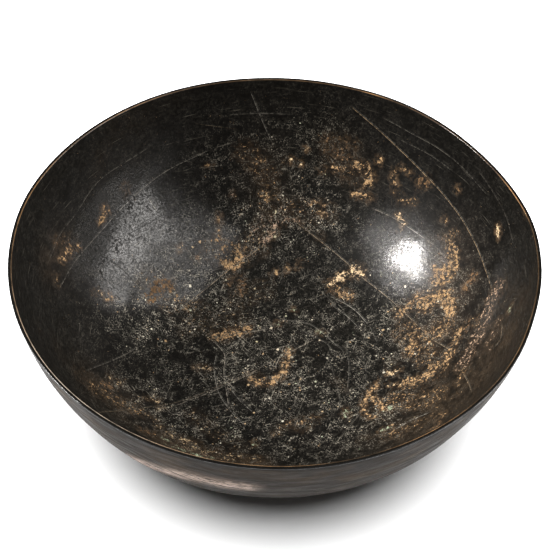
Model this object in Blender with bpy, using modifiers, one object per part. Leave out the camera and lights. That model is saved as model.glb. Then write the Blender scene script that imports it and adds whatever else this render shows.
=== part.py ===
"""Bronze bowl: one deep, wide-mouthed vessel of hammered sheet, round-bellied, on a small flat.

Metres, +Z up. The bowl is a turned shape: its axis is Z, and the origin is the middle of the flat
that it stands on. It is hollow and open at the top, with a wall of even thickness all over and a
rim that is cut level and worn at its corners.
"""

import math

import bmesh
import bpy
from mathutils import Vector
from mathutils.geometry import interpolate_bezier

# Driving sizes, in metres
RIM_RADIUS = 0.100
HEIGHT = 0.069
WALL = 0.0015
STANDING_RADIUS = 0.028
RIM_WEAR = 0.0004

# How the wall sweeps from the rim to the standing flat: its lean from the vertical at the rim,
# in degrees, and how far each end of the sweep pulls the curve along its own direction, in metres
RIM_LEAN = 12.0
RIM_PULL = 0.0386
FLOOR_PULL = 0.0368

# Fineness of the turned surface
TURN_STEPS = 72
WALL_POINTS = 20
WEAR_SEGMENTS = 2
SHARPEST_SMOOTH_ANGLE = 40.0
MERGE_DISTANCE = 0.00001


def clear_scene():
    """Removes whatever objects the scene starts with."""
    for stray in list(bpy.data.objects):
        bpy.data.objects.remove(stray, do_unlink=True)


def outer_wall():
    """Returns the outside of the wall, from the rim down to the edge of the standing flat."""
    lean = math.radians(RIM_LEAN)
    rim = Vector((RIM_RADIUS, 0.0, HEIGHT))
    rim_handle = rim - RIM_PULL * Vector((math.sin(lean), 0.0, math.cos(lean)))
    flat_edge = Vector((STANDING_RADIUS, 0.0, 0.0))
    flat_handle = flat_edge + Vector((FLOOR_PULL, 0.0, 0.0))
    return interpolate_bezier(rim, rim_handle, flat_handle, flat_edge, WALL_POINTS)


def inner_wall(outside):
    """Returns the inside of the wall, from the edge of the floor up to the rim.

    Each point stands one wall thickness in from the outside, square to it, and the last point is
    where the inside meets the level top of the rim.
    """
    inside = [Vector((STANDING_RADIUS, 0.0, WALL))]
    for index in range(len(outside) - 2, 0, -1):
        along = (outside[index + 1] - outside[index - 1]).normalized()
        inward = Vector((along.z, 0.0, -along.x))
        inside.append(outside[index] + WALL * inward)
    level_width = WALL / math.cos(math.radians(RIM_LEAN))
    inside.append(Vector((RIM_RADIUS - level_width, 0.0, HEIGHT)))
    return inside


def bowl_profile():
    """Returns the section of the metal: up the inside from the axis, and down the outside to it."""
    outside = outer_wall()
    floor_middle = Vector((0.0, 0.0, WALL))
    underside_middle = Vector((0.0, 0.0, 0.0))
    return [floor_middle] + inner_wall(outside) + list(outside) + [underside_middle]


def line_mesh(name, points):
    """Makes a mesh of one open line through the points."""
    drawing = bmesh.new()
    corners = [drawing.verts.new(point) for point in points]
    for start, end in zip(corners, corners[1:]):
        drawing.edges.new((start, end))
    mesh = bpy.data.meshes.new(name)
    drawing.to_mesh(mesh)
    drawing.free()
    return mesh


def turn_about_axis(piece):
    """Turns the piece's profile all the way round Z."""
    turn = piece.modifiers.new("Turn", "SCREW")
    turn.axis = "Z"
    turn.angle = math.tau
    turn.steps = TURN_STEPS
    turn.render_steps = TURN_STEPS
    turn.use_merge_vertices = True
    turn.merge_threshold = MERGE_DISTANCE
    turn.use_smooth_shade = True


def wear_corners(piece):
    """Rounds the two sharp corners of the rim, and nothing else."""
    wear = piece.modifiers.new("Rim wear", "BEVEL")
    wear.limit_method = "ANGLE"
    wear.angle_limit = math.radians(SHARPEST_SMOOTH_ANGLE)
    wear.width = RIM_WEAR
    wear.segments = WEAR_SEGMENTS


def dark_bronze():
    """Makes the bowl's material: bronze under a dark, half-polished patina."""
    material = bpy.data.materials.new("dark_bronze")
    material.use_nodes = True
    shader = material.node_tree.nodes["Principled BSDF"]
    shader.inputs["Base Color"].default_value = (0.045, 0.038, 0.031, 1.0)
    shader.inputs["Metallic"].default_value = 0.75
    shader.inputs["Roughness"].default_value = 0.38
    material.diffuse_color = (0.10, 0.085, 0.07, 1.0)
    return material


def make_bowl(collection):
    """Makes the bowl and puts it in the collection."""
    bowl = bpy.data.objects.new("bowl", line_mesh("bowl", bowl_profile()))
    collection.objects.link(bowl)
    turn_about_axis(bowl)
    wear_corners(bowl)
    bowl.data.materials.append(dark_bronze())
    return bowl


def main():
    """Builds the whole object."""
    clear_scene()
    collection = bpy.data.collections.new("Bronze bowl")
    bpy.context.scene.collection.children.link(collection)
    make_bowl(collection)


main()
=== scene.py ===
"""Looks of the bronze bowl: a hammered wall under a dark, scoured patina with tan crust.

The bowl is one thin-walled piece. Its mesh is drawn ring by ring, from the edge of the floor up the
inside, over the rim and down the outside, and then hammered, so that the wall waves a little and the
rim is not quite round. The crust, specks and scratches that the photograph shows are placed by the
pixels that they cover there: a ray of the photograph's camera finds the spot on the bowl, and what
the spot needs to know is kept on the mesh for the material to read.
"""

import logging
import math
from dataclasses import dataclass, field
from enum import Enum
from typing import ClassVar

import bpy
import numpy as np
from mathutils import Matrix, Vector, noise
from mathutils.bvhtree import BVHTree


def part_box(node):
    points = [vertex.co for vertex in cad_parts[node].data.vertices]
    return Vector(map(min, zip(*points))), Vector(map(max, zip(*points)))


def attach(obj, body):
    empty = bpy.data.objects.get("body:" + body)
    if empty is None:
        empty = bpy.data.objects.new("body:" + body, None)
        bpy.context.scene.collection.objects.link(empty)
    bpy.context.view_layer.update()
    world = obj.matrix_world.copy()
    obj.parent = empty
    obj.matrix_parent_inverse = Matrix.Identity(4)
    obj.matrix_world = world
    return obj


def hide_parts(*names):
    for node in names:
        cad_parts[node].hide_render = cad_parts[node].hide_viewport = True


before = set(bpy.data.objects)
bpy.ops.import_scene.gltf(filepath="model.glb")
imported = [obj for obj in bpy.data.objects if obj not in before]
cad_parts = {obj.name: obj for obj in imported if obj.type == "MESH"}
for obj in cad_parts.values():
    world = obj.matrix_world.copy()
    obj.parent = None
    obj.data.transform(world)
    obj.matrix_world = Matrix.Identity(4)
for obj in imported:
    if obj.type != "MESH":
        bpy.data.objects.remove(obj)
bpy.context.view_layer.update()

BODY = "root"
NODE = "bowl"

MM = 0.001
PHOTO_SIDE = 550
SENSOR_WIDTH = 36.0
BUMP_DISTANCE = 0.12 * MM
SAME_PLACE = 0.01 * MM

# Room kept inside the solid's box for the places where the rim stands out of round
RIM_ROOM = 0.5 * MM

log = logging.getLogger("bronze_bowl")

Pixel = tuple[float, float]
Colour = tuple[float, float, float]


class Zone(Enum):
    """The parts of the bowl's skin, numbered as its material slots."""

    INSIDE = 0
    OUTSIDE = 1


class Tone(Enum):
    """Kinds of crust, and the painted reflection laid as pink crust, as places on the crust's colour ramp.
    """

    BROWN = 0.0
    TAN = 0.3
    CREAM = 0.55
    # Also the tone of the painted reflection streaks on the right wall
    PINK_CRUST_AND_REFLECTION = 0.75
    GREEN = 1.0


@dataclass(frozen=True)
class PhotoCamera:
    """The camera that took the photograph: a long lens that looks down into the bowl.

    Attributes:
        rim_radius: the bowl's radius at the rim, in metres.
        rim_height: the height of the rim, in metres.
        radii_away: the camera's distance from the rim's centre, in rim radii.
        looks_down: how far below level it looks, in degrees.
        pan: how far it turns up from the rim's centre, in degrees.
        roll: how far it leans to its left, in degrees.
        focal: focal length, in pixels of the photograph.
    """

    rim_radius: float
    rim_height: float
    radii_away: float = 8.0
    looks_down: float = 46.81
    pan: float = -0.504
    roll: float = 2.09
    focal: float = 2136.2

    def place(self) -> Vector:
        """Returns where the camera stands."""
        down = math.radians(self.looks_down)
        away = self.radii_away * self.rim_radius
        return Vector((0.0, -away * math.cos(down), self.rim_height + away * math.sin(down)))

    def axes(self) -> tuple[Vector, Vector, Vector]:
        """Returns the camera's right, up and forward directions.

        Returns:
            Three directions of length one.
        """
        down = math.radians(self.looks_down)
        pan = math.radians(self.pan)
        roll = math.radians(self.roll)
        level_forward = Vector((0.0, math.cos(down), -math.sin(down)))
        level_up = Vector((0.0, math.sin(down), math.cos(down)))
        forward = level_forward * math.cos(pan) + level_up * math.sin(pan)
        panned_up = level_up * math.cos(pan) - level_forward * math.sin(pan)
        level_right = Vector((1.0, 0.0, 0.0))
        right = level_right * math.cos(roll) + panned_up * math.sin(roll)
        up = panned_up * math.cos(roll) - level_right * math.sin(roll)
        return right, up, forward

    def ray(self, pixel: Pixel) -> Vector:
        """Returns the direction from the camera through a pixel of the photograph.

        Args:
            pixel: across and down, from the photograph's upper left corner.

        Returns:
            A direction of length one.
        """
        right, up, forward = self.axes()
        middle = PHOTO_SIDE / 2.0
        across = (pixel[0] - middle) / self.focal
        down = (pixel[1] - middle) / self.focal
        return (forward + right * across - up * down).normalized()

    def build(self) -> bpy.types.Object:
        """Makes the camera and gives it to the scene.

        Returns:
            The camera object.
        """
        right, up, forward = self.axes()
        data = bpy.data.cameras.new("photo_camera")
        data.sensor_width = SENSOR_WIDTH
        data.lens = self.focal * SENSOR_WIDTH / PHOTO_SIDE
        data.clip_start = 0.01
        camera = bpy.data.objects.new("photo_camera", data)
        turned = Matrix((right, up, -forward)).transposed().to_4x4()
        camera.matrix_world = Matrix.Translation(self.place()) @ turned
        bpy.context.scene.collection.objects.link(camera)
        bpy.context.scene.camera = camera
        return camera


@dataclass(frozen=True)
class Ring:
    """One level ring of the bowl's skin.

    Attributes:
        radius: its radius, in metres.
        height: its height, in metres.
        along: how far along the outside of the wall it is from the axis, in metres.
        root: the radius and height of the outside of the wall beside it.
        outward: the direction, in the section, in which hammering pushes the wall.
        past_arris: how far it lies past the rim's inner corner along the skin, in metres.
        zone: the part of the skin that the faces from the ring before to this one are.
    """

    radius: float
    height: float
    along: float
    root: Vector
    outward: Vector
    past_arris: float
    zone: Zone


@dataclass(frozen=True)
class WallCurve:
    """The section of the wall, the same sweep as the solid's, from the rim to the standing flat.

    Attributes:
        rim_radius: outside radius at the rim, in metres.
        height: height of the rim, in metres.
        wall: thickness of the metal, in metres.
        standing_radius: radius of the flat underneath, in metres.
        rim_lean: how far the wall leans out at the rim, in degrees.
        rim_pull: how far the sweep follows that lean, in metres.
        floor_pull: how far the sweep follows the flat, in metres.
        rim_wear: how far the rim's corners are worn back, in metres.
        ring_spacing: distance between rings along the wall, in metres.
        corner_rings: rings round each worn corner of the rim.
        fine_steps: steps along the sweep from which the rings' places are measured.
    """

    rim_radius: float
    height: float
    wall: float = 0.0015
    standing_radius: float = 0.028
    rim_lean: float = 12.0
    rim_pull: float = 0.0386
    floor_pull: float = 0.0368
    rim_wear: float = 0.0005
    ring_spacing: float = 0.00128
    corner_rings: int = 5
    fine_steps: int = 2000

    def point(self, share: float) -> Vector:
        """Returns the outside's radius and height at a share of the way from the flat to the rim.

        Args:
            share: from 0 at the edge of the flat to 1 at the rim.

        Returns:
            The radius and the height, in metres.
        """
        lean = math.radians(self.rim_lean)
        start = Vector((self.standing_radius, 0.0))
        start_handle = Vector((self.standing_radius + self.floor_pull, 0.0))
        end = Vector((self.rim_radius, self.height))
        end_handle = end - self.rim_pull * Vector((math.sin(lean), math.cos(lean)))
        rest = 1.0 - share
        return (
            rest**3 * start
            + 3.0 * rest**2 * share * start_handle
            + 3.0 * rest * share**2 * end_handle
            + share**3 * end
        )

    def outside(self) -> list[Ring]:
        """Returns rings spaced evenly up the outside, from the edge of the flat to the rim.

        Returns:
            The rings, the lowest first.
        """
        fine = [self.point(step / self.fine_steps) for step in range(self.fine_steps + 1)]
        lengths = [0.0]
        for before, after in zip(fine, fine[1:]):
            lengths.append(lengths[-1] + (after - before).length)
        count = round(lengths[-1] / self.ring_spacing)
        rings = []
        for number in range(count + 1):
            length = lengths[-1] * number / count
            place = min(np.searchsorted(lengths, length), len(fine) - 2)
            direction = (fine[place + 1] - fine[max(place - 1, 0)]).normalized()
            outward = Vector((direction.y, -direction.x))
            spot = fine[place]
            along = self.standing_radius + length
            rings.append(Ring(spot.x, spot.y, along, spot, outward, 0.0, Zone.OUTSIDE))
        return rings

    def corner(self, tip: Vector, before: Vector, after: Vector) -> list[Vector]:
        """Returns points round a worn corner of the rim.

        Args:
            tip: where the corner would be if it were sharp.
            before: the direction from the tip back along the first face.
            after: the direction from the tip on along the second face.

        Returns:
            Points from the first face to the second, both ends included.
        """
        first = tip + self.rim_wear * before
        last = tip + self.rim_wear * after
        points = []
        for step in range(self.corner_rings + 1):
            share = step / self.corner_rings
            rest = 1.0 - share
            points.append(rest**2 * first + 2.0 * rest * share * tip + share**2 * last)
        return points

    def rings(self) -> list[Ring]:
        """Returns all rings, from the floor's edge up the inside, over the rim and down again.

        Returns:
            The rings, in the order in which the skin is drawn.
        """
        outside = self.outside()
        lean = math.radians(self.rim_lean)
        down_wall = Vector((-math.sin(lean), -math.cos(lean)))
        inner_tip = Vector((self.rim_radius - self.wall / math.cos(lean), self.height))
        outer_tip = Vector((self.rim_radius, self.height))
        inward = Vector((-1.0, 0.0))
        top = outside[-1]
        kept = [ring for ring in outside if top.along - ring.along > self.rim_wear + self.ring_spacing / 2]
        skin: list[tuple[Vector, Ring, Zone]] = []
        for ring in kept:
            skin.append((ring.root - self.wall * ring.outward, ring, Zone.INSIDE))
        arris = self.corner(inner_tip, down_wall, -inward)
        for spot in arris + self.corner(outer_tip, inward, down_wall):
            skin.append((spot, top, Zone.INSIDE))
        for ring in reversed(kept):
            skin.append((ring.root, ring, Zone.OUTSIDE))
        past = [0.0]
        for (before, _, _), (after, _, _) in zip(skin, skin[1:]):
            past.append(past[-1] + (after - before).length)
        start = past[len(kept) + self.corner_rings // 2]
        return [
            Ring(spot.x, spot.y, ring.along, ring.root, ring.outward, gone - start, zone)
            for (spot, ring, zone), gone in zip(skin, past)
        ]


@dataclass(frozen=True)
class RimBend:
    """A place where the rim stands in or out of round.

    Attributes:
        heading: its direction from the axis, in degrees from +X towards +Y.
        reach: how far it spreads to either side, in degrees.
        out: how far the rim stands out there, in metres, or in, if negative.
    """

    heading: float
    reach: float
    out: float


@dataclass(frozen=True)
class Hammering:
    """How the hammer left the wall.

    Attributes:
        wave_length: size of the broad waves, in metres.
        wave_height: how far they move the wall, in metres.
        dent_length: size of the hammer marks, in metres.
        dent_height: how deep they are, in metres.
        rim_waves: how far the rim dips below its highest point, in metres.
        rim_wave_turns: how fast those dips follow each other round the rim.
        rim_calm: how much of the hammering is gone at the rim itself.
        rim_calm_reach: how far below the rim it is weaker, in metres.
        flat_reach: how far from the standing flat it fades in, in metres.
        bend_gather: how much the rim's bends gather near the rim.
        bends: the places where the rim is out of round.
    """

    wave_length: float = 0.045
    wave_height: float = 0.35 * MM
    dent_length: float = 0.013
    dent_height: float = 0.12 * MM
    rim_waves: float = 0.0003
    rim_wave_turns: float = 1.4
    rim_calm: float = 0.8
    rim_calm_reach: float = 0.012
    flat_reach: float = 0.015
    bend_gather: float = 1.5
    bends: tuple[RimBend, ...] = (
        RimBend(heading=62.0, reach=12.0, out=0.0004),
        RimBend(heading=37.0, reach=11.0, out=-0.0005),
        RimBend(heading=13.0, reach=8.0, out=0.0005),
        RimBend(heading=-15.0, reach=11.0, out=-0.0008),
        RimBend(heading=165.0, reach=10.0, out=0.0003),
        RimBend(heading=100.0, reach=14.0, out=-0.0002),
    )

    # Takes the dents from another part of the noise than the waves
    DENT_SHIFT: ClassVar[Vector] = Vector((7.3, 1.9, 4.4))

    def push(self, root: Vector) -> float:
        """Returns how far the wall is pushed outwards beside a point of its outside, in metres.

        Args:
            root: the point, before hammering.

        Returns:
            The push, negative where the wall is dented in.
        """
        waves = noise.noise(root / self.wave_length) * self.wave_height
        dents = noise.noise(root / self.dent_length + self.DENT_SHIFT) * self.dent_height
        return waves + dents

    def rim_out(self, heading: float) -> float:
        """Returns how far the rim stands out of round in a direction given in degrees, in metres.

        Args:
            heading: the direction, from +X towards +Y.

        Returns:
            The sum of all the bends there.
        """
        total = 0.0
        for bend in self.bends:
            turn = (heading - bend.heading + 180.0) % 360.0 - 180.0
            total += bend.out * math.exp(-((turn / bend.reach) ** 2))
        return total


@dataclass(frozen=True)
class Crust:
    """A patch, stroke or speck of crust on the inside, where the photograph shows it; a few are painted
    reflections laid as crust.

    Attributes:
        name: what it looks like.
        path: photograph pixels along its middle; one pixel makes a round spot.
        width: its full width, in metres.
        cover: how much of it is crust rather than bare patina, from 0 to 1.
    """

    name: str
    path: tuple[Pixel, ...]
    width: float
    cover: float


@dataclass(frozen=True)
class Scratch:
    """A scratch on the inside, where the photograph shows it.

    Attributes:
        name: where it runs.
        path: photograph pixels that it passes through.
        width: its full width, in metres.
        strength: how much it stands out, up to 1, or down to -1 for a dark crack.
        tan: how tan it is, from 0, plain grey, to 1.
    """

    name: str
    path: tuple[Pixel, ...]
    width: float = 0.24 * MM
    strength: float = 0.6
    tan: float = 0.3


@dataclass(frozen=True)
class Haze:
    """A broad, soft change of the patina on the inside.

    Attributes:
        name: what it does.
        path: photograph pixels along its middle.
        reach: how far it spreads, in metres.
        strength: how strong it is in its middle.
    """

    name: str
    path: tuple[Pixel, ...]
    reach: float
    strength: float


# Crust on the inside, by its tone: name, pixels along it, width and cover; the pink streaks of the right
# wall are painted reflection
CRUSTS_AND_PAINTED_REFLECTIONS = {
    Tone.BROWN: (
        Crust("brown bloom, upper right", ((326, 140), (340, 141), (354, 145)), 4.0 * MM, 0.5),
        Crust("brown lace, upper right", ((328, 151), (342, 155), (352, 162)), 3.4 * MM, 0.6),
        Crust("blotch by the long scratch", ((419, 183), (427, 180)), 3.2 * MM, 0.75),
        Crust("far speck, right wall", ((460, 189),), 1.6 * MM, 0.8),
        Crust(
            "ring, left of middle",
            ((229, 284), (233, 279), (240, 279), (243, 286), (240, 293)),
            2.2 * MM,
            0.75,
        ),
        Crust("patch, left floor", ((152, 297), (158, 288), (168, 284)), 5.0 * MM, 0.80),
        Crust("brown bloom, left wall", ((57, 241), (66, 240), (73, 241)), 3.5 * MM, 0.45),
        Crust("brown veil, lower left", ((82, 377), (98, 384), (112, 390), (126, 398)), 9.0 * MM, 0.3),
        Crust("orange blob, lower left", ((105, 384), (110, 386)), 2.2 * MM, 0.75),
        Crust("brown patch by the front rim", ((142, 430), (152, 433)), 3.0 * MM, 0.6),
        Crust("brown band by the front rim", ((212, 450), (232, 456), (256, 461)), 3.0 * MM, 0.45),
        Crust("brown strokes, right wall", ((464, 288), (469, 280), (474, 276)), 3.0 * MM, 0.7),
        Crust("brown crust, far right", ((462, 329), (470, 324), (478, 320)), 5.0 * MM, 0.5),
        Crust("band's bloom, lower right", ((415, 392), (426, 384), (440, 374)), 7.0 * MM, 0.4),
        Crust("run to the front rim", ((441, 420), (437, 426), (431, 432)), 1.8 * MM, 0.7),
    ),
    Tone.TAN: (
        Crust("bright lace, upper right", ((358, 165), (366, 169), (371, 176), (367, 184)), 3.2 * MM, 0.75),
        Crust("olive dots, upper right", ((323, 171), (333, 168), (342, 170)), 2.6 * MM, 0.6),
        Crust("tan band, upper right", ((355, 194), (363, 196), (370, 198)), 2.2 * MM, 0.74),
        Crust("dots by the tan band", ((344, 181), (352, 182)), 2.4 * MM, 0.5),
        Crust("sparse lace, upper right", ((340, 165), (350, 172), (357, 180)), 6.0 * MM, 0.35),
        Crust("tan stroke, upper right", ((395, 171), (393, 177), (395, 184)), 1.5 * MM, 0.95),
        Crust("blob by the stroke", ((380, 161),), 2.2 * MM, 0.8),
        Crust("short dash by the stroke", ((403, 168), (410, 173)), 1.0 * MM, 0.8),
        Crust("faint lace over the highlight", ((397, 192), (402, 200), (413, 203)), 3.2 * MM, 0.5),
        Crust("speck, right wall", ((446, 219),), 1.6 * MM, 0.9),
        Crust("olive stroke, back", ((249, 167), (256, 163), (260, 159)), 1.2 * MM, 0.75),
        Crust("olive cluster, back", ((262, 193), (266, 198), (272, 194)), 3.0 * MM, 0.7),
        Crust("olive speck, back", ((268, 187),), 1.5 * MM, 0.8),
        Crust("olive speck, back left", ((209, 166),), 1.4 * MM, 0.7),
        Crust("upper tick, left of middle", ((219, 215), (220, 224)), 1.0 * MM, 1.0),
        Crust("lower tick, left of middle", ((219, 233), (218, 241)), 1.1 * MM, 0.8),
        Crust("olive dashes, middle", ((310, 203), (318, 201), (325, 204)), 1.4 * MM, 0.7),
        Crust("sparse tan, left of middle", ((225, 244), (236, 248), (247, 252)), 5.0 * MM, 0.58),
        Crust("tan blotch, left of middle", ((226, 262), (233, 265), (237, 261)), 4.6 * MM, 0.85),
        Crust("lace under the ring", ((231, 297), (238, 303)), 3.0 * MM, 0.4),
        Crust("speck, middle", ((274, 274),), 1.8 * MM, 0.8),
        Crust("orange speck, middle", ((298, 263),), 1.3 * MM, 0.9),
        Crust("second orange speck", ((287, 267),), 1.3 * MM, 0.8),
        Crust("dots, left floor", ((172, 292), (182, 300), (190, 309)), 5.0 * MM, 0.50),
        Crust(
            "small ring, left wall",
            ((102, 211), (105, 208), (108, 212), (104, 215), (100, 222)),
            1.3 * MM,
            0.9,
        ),
        Crust("tan stroke, left wall", ((62, 260), (66, 256), (70, 251), (78, 247)), 1.9 * MM, 0.9),
        Crust("low stroke, left wall", ((57, 277), (58, 284)), 1.5 * MM, 0.6),
        Crust("lower small ring", ((106, 297), (109, 294), (112, 297), (109, 299)), 1.2 * MM, 0.9),
        Crust("floor arc", ((251, 380), (262, 384), (272, 382), (284, 369), (289, 351)), 1.8 * MM, 0.9),
        Crust("floor arc bloom", ((254, 377), (262, 381)), 4.0 * MM, 0.58),
        Crust("middle patch, floor", ((217, 336), (230, 333), (246, 330)), 5.0 * MM, 0.70),
        Crust("front stroke", ((273, 434), (287, 425), (304, 421), (320, 416)), 1.5 * MM, 0.6),
        Crust("second front stroke", ((292, 429), (306, 430), (316, 420)), 1.4 * MM, 0.5),
        Crust("tan lace, right floor", ((333, 286), (339, 291), (347, 296)), 3.6 * MM, 0.7),
        Crust("lace, right wall", ((400, 313), (409, 306), (418, 298)), 4.0 * MM, 0.75),
        Crust("dense crust, right wall", ((424, 305), (437, 298), (447, 300), (450, 309)), 7.0 * MM, 0.78),
        Crust(
            "crust beside the highlight", ((439, 277), (447, 270), (453, 262), (452, 248)), 6.5 * MM, 0.7
        ),
        Crust(
            "hook beside the highlight",
            ((435, 267), (438, 277), (443, 282), (450, 278), (454, 273)),
            1.8 * MM,
            0.95,
        ),
        Crust("high crust, right wall", ((445, 240), (455, 233)), 4.0 * MM, 0.5),
        Crust("comb strokes, right floor", ((408, 353), (412, 343), (417, 335)), 2.6 * MM, 0.8),
        Crust("scattered crust, right", ((415, 348), (430, 336), (446, 326)), 9.0 * MM, 0.57),
        Crust("brown streaks, right", ((446, 362), (453, 347), (459, 332)), 4.0 * MM, 0.72),
        Crust("dense band, lower right", ((402, 385), (415, 381), (428, 375), (435, 367)), 5.0 * MM, 0.68),
        Crust("streak, lower right", ((458, 382), (463, 371)), 2.4 * MM, 0.65),
        Crust("left leg of the vee", ((364, 405), (369, 394), (377, 384)), 1.5 * MM, 0.9),
        Crust("right leg of the vee", ((373, 398), (378, 404), (384, 408)), 2.2 * MM, 0.8),
        Crust("foot of the vee", ((364, 409), (367, 415), (373, 418)), 1.3 * MM, 0.85),
        Crust("dots beside the vee", ((337, 380), (345, 388)), 3.0 * MM, 0.35),
        Crust("tan corner by the front rim", ((441, 415), (446, 414)), 2.4 * MM, 0.7),
        Crust("lace field, left of middle", ((215, 250), (235, 256), (255, 246)), 12.0 * MM, 0.42),
        Crust("lace field, left floor", ((150, 284), (172, 303), (198, 312)), 12.0 * MM, 0.38),
        Crust("golden cluster, lower left", ((95, 388), (112, 398), (138, 410)), 7.0 * MM, 0.5),
        Crust("olive lace, back", ((244, 150), (256, 162), (268, 176)), 8.0 * MM, 0.42),
        Crust("olive lace, middle back", ((268, 204), (296, 208), (330, 212)), 7.0 * MM, 0.38),
        Crust("fine lace, right", ((405, 330), (425, 352), (440, 366)), 10.0 * MM, 0.50),
        Crust("fine lace, front right", ((395, 400), (415, 402), (438, 396)), 9.0 * MM, 0.52),
        Crust("golden lace by the front rim", ((388, 436), (408, 428), (428, 418)), 4.0 * MM, 0.5),
    ),
    Tone.CREAM: (
        Crust("dots over the highlight", ((399, 216), (402, 222), (402, 229)), 2.2 * MM, 0.8),
        Crust("cream chip, right wall", ((498, 228), (498, 235)), 2.6 * MM, 1.0),
        Crust("speck by the right rim", ((524, 213),), 1.5 * MM, 1.0),
        Crust("cream speck, back", ((290, 159),), 1.7 * MM, 0.95),
        Crust("second cream speck, back", ((301, 165),), 1.3 * MM, 0.95),
        Crust("third cream speck, back", ((306, 150),), 1.2 * MM, 0.95),
        Crust("bright dash, middle", ((319, 215), (325, 215)), 1.1 * MM, 1.0),
        Crust("cream dots, middle", ((307, 223), (314, 231), (321, 238)), 4.0 * MM, 0.4),
        Crust("dash in the left sheen", ((179, 250), (183, 248)), 1.0 * MM, 0.9),
        Crust("specks, left", ((94, 292), (99, 293)), 1.4 * MM, 0.7),
        Crust("olive dots, lower left", ((111, 378), (120, 382)), 2.8 * MM, 0.5),
        Crust("cream dots, lower left", ((145, 398), (155, 400), (160, 407)), 2.2 * MM, 0.6),
        Crust("dots by the front rim, left", ((147, 415), (156, 421)), 2.4 * MM, 0.5),
        Crust("cream cluster, front", ((187, 440), (198, 443)), 3.0 * MM, 0.6),
        Crust("dash inside the scoured ring", ((196, 367), (209, 369)), 1.4 * MM, 0.7),
        Crust("bright lace, right floor", ((332, 283), (342, 278), (352, 272), (361, 273)), 3.4 * MM, 0.80),
        Crust("lace spur, right floor", ((352, 266), (360, 268)), 3.0 * MM, 0.6),
        Crust("dash, right wall", ((423, 295), (430, 291)), 1.6 * MM, 0.9),
        Crust("cream dashes, lower right", ((389, 374), (399, 370)), 1.5 * MM, 0.85),
        Crust("second cream dash", ((391, 384), (402, 384)), 1.2 * MM, 0.85),
        Crust("lace field, floor edge", ((188, 330), (212, 322), (240, 318)), 8.0 * MM, 0.36),
        Crust("lace field, floor", ((235, 302), (262, 290)), 9.0 * MM, 0.36),
        Crust(
            "cream lace by the front rim", ((160, 428), (188, 445), (222, 456), (258, 459)), 4.6 * MM, 0.5
        ),
        Crust("cream lace, front", ((196, 416), (214, 432), (236, 446)), 7.0 * MM, 0.36),
    ),
    Tone.PINK_CRUST_AND_REFLECTION: (
        Crust("pink spot, back left", ((231, 195),), 1.8 * MM, 0.6),
        Crust("pink arc, middle", ((283, 225), (291, 220), (301, 223)), 1.8 * MM, 0.6),
        Crust("pink blot, middle", ((264, 240), (271, 234), (275, 228)), 3.6 * MM, 0.75),
        Crust("pink lace, middle", ((257, 226), (268, 222), (278, 227)), 2.6 * MM, 0.45),
        Crust("blot in the left sheen", ((196, 258),), 2.2 * MM, 0.6),
        Crust("dash, left wall", ((125, 186), (128, 191)), 1.3 * MM, 0.8),
        # The three pink streaks below are painted reflection: light that the right wall mirrors from the
        # wall opposite, laid as crust
        Crust(
            "pink streaks, right wall",
            ((499, 288), (490, 302), (484, 320), (475, 342), (463, 364)),
            7.5 * MM,
            0.57,
        ),
        Crust("outer pink streaks", ((500, 320), (494, 332), (488, 342)), 3.0 * MM, 0.45),
        Crust("lower pink streaks", ((490, 366), (482, 378)), 4.0 * MM, 0.35),
        Crust("lace field, middle", ((262, 230), (272, 222), (284, 214)), 9.0 * MM, 0.45),
    ),
    Tone.GREEN: (
        Crust(
            "pale band by the front rim", ((163, 437), (174, 445), (188, 452), (212, 458)), 2.6 * MM, 0.6
        ),
        Crust("green speck, front", ((253, 444),), 2.2 * MM, 0.8),
        Crust("green speck by the vee", ((389, 408),), 2.0 * MM, 0.9),
        Crust("green smear left of the vee", ((345, 410), (345, 415)), 1.8 * MM, 0.8),
        Crust("green dash under the vee", ((378, 431), (388, 428)), 1.6 * MM, 0.8),
        Crust("green veil by the front rim", ((360, 440), (376, 434)), 2.0 * MM, 0.4),
        Crust("grey smudge, lower right", ((391, 363), (397, 367)), 3.2 * MM, 0.4),
        Crust("green dash, right wall", ((510, 310), (512, 306)), 1.2 * MM, 0.9),
        Crust("green specks, floor", ((278, 323),), 1.5 * MM, 0.9),
        Crust("second green speck, floor", ((322, 332),), 1.4 * MM, 0.9),
        Crust("third green speck, floor", ((294, 310),), 1.3 * MM, 0.9),
    ),
}

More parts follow.
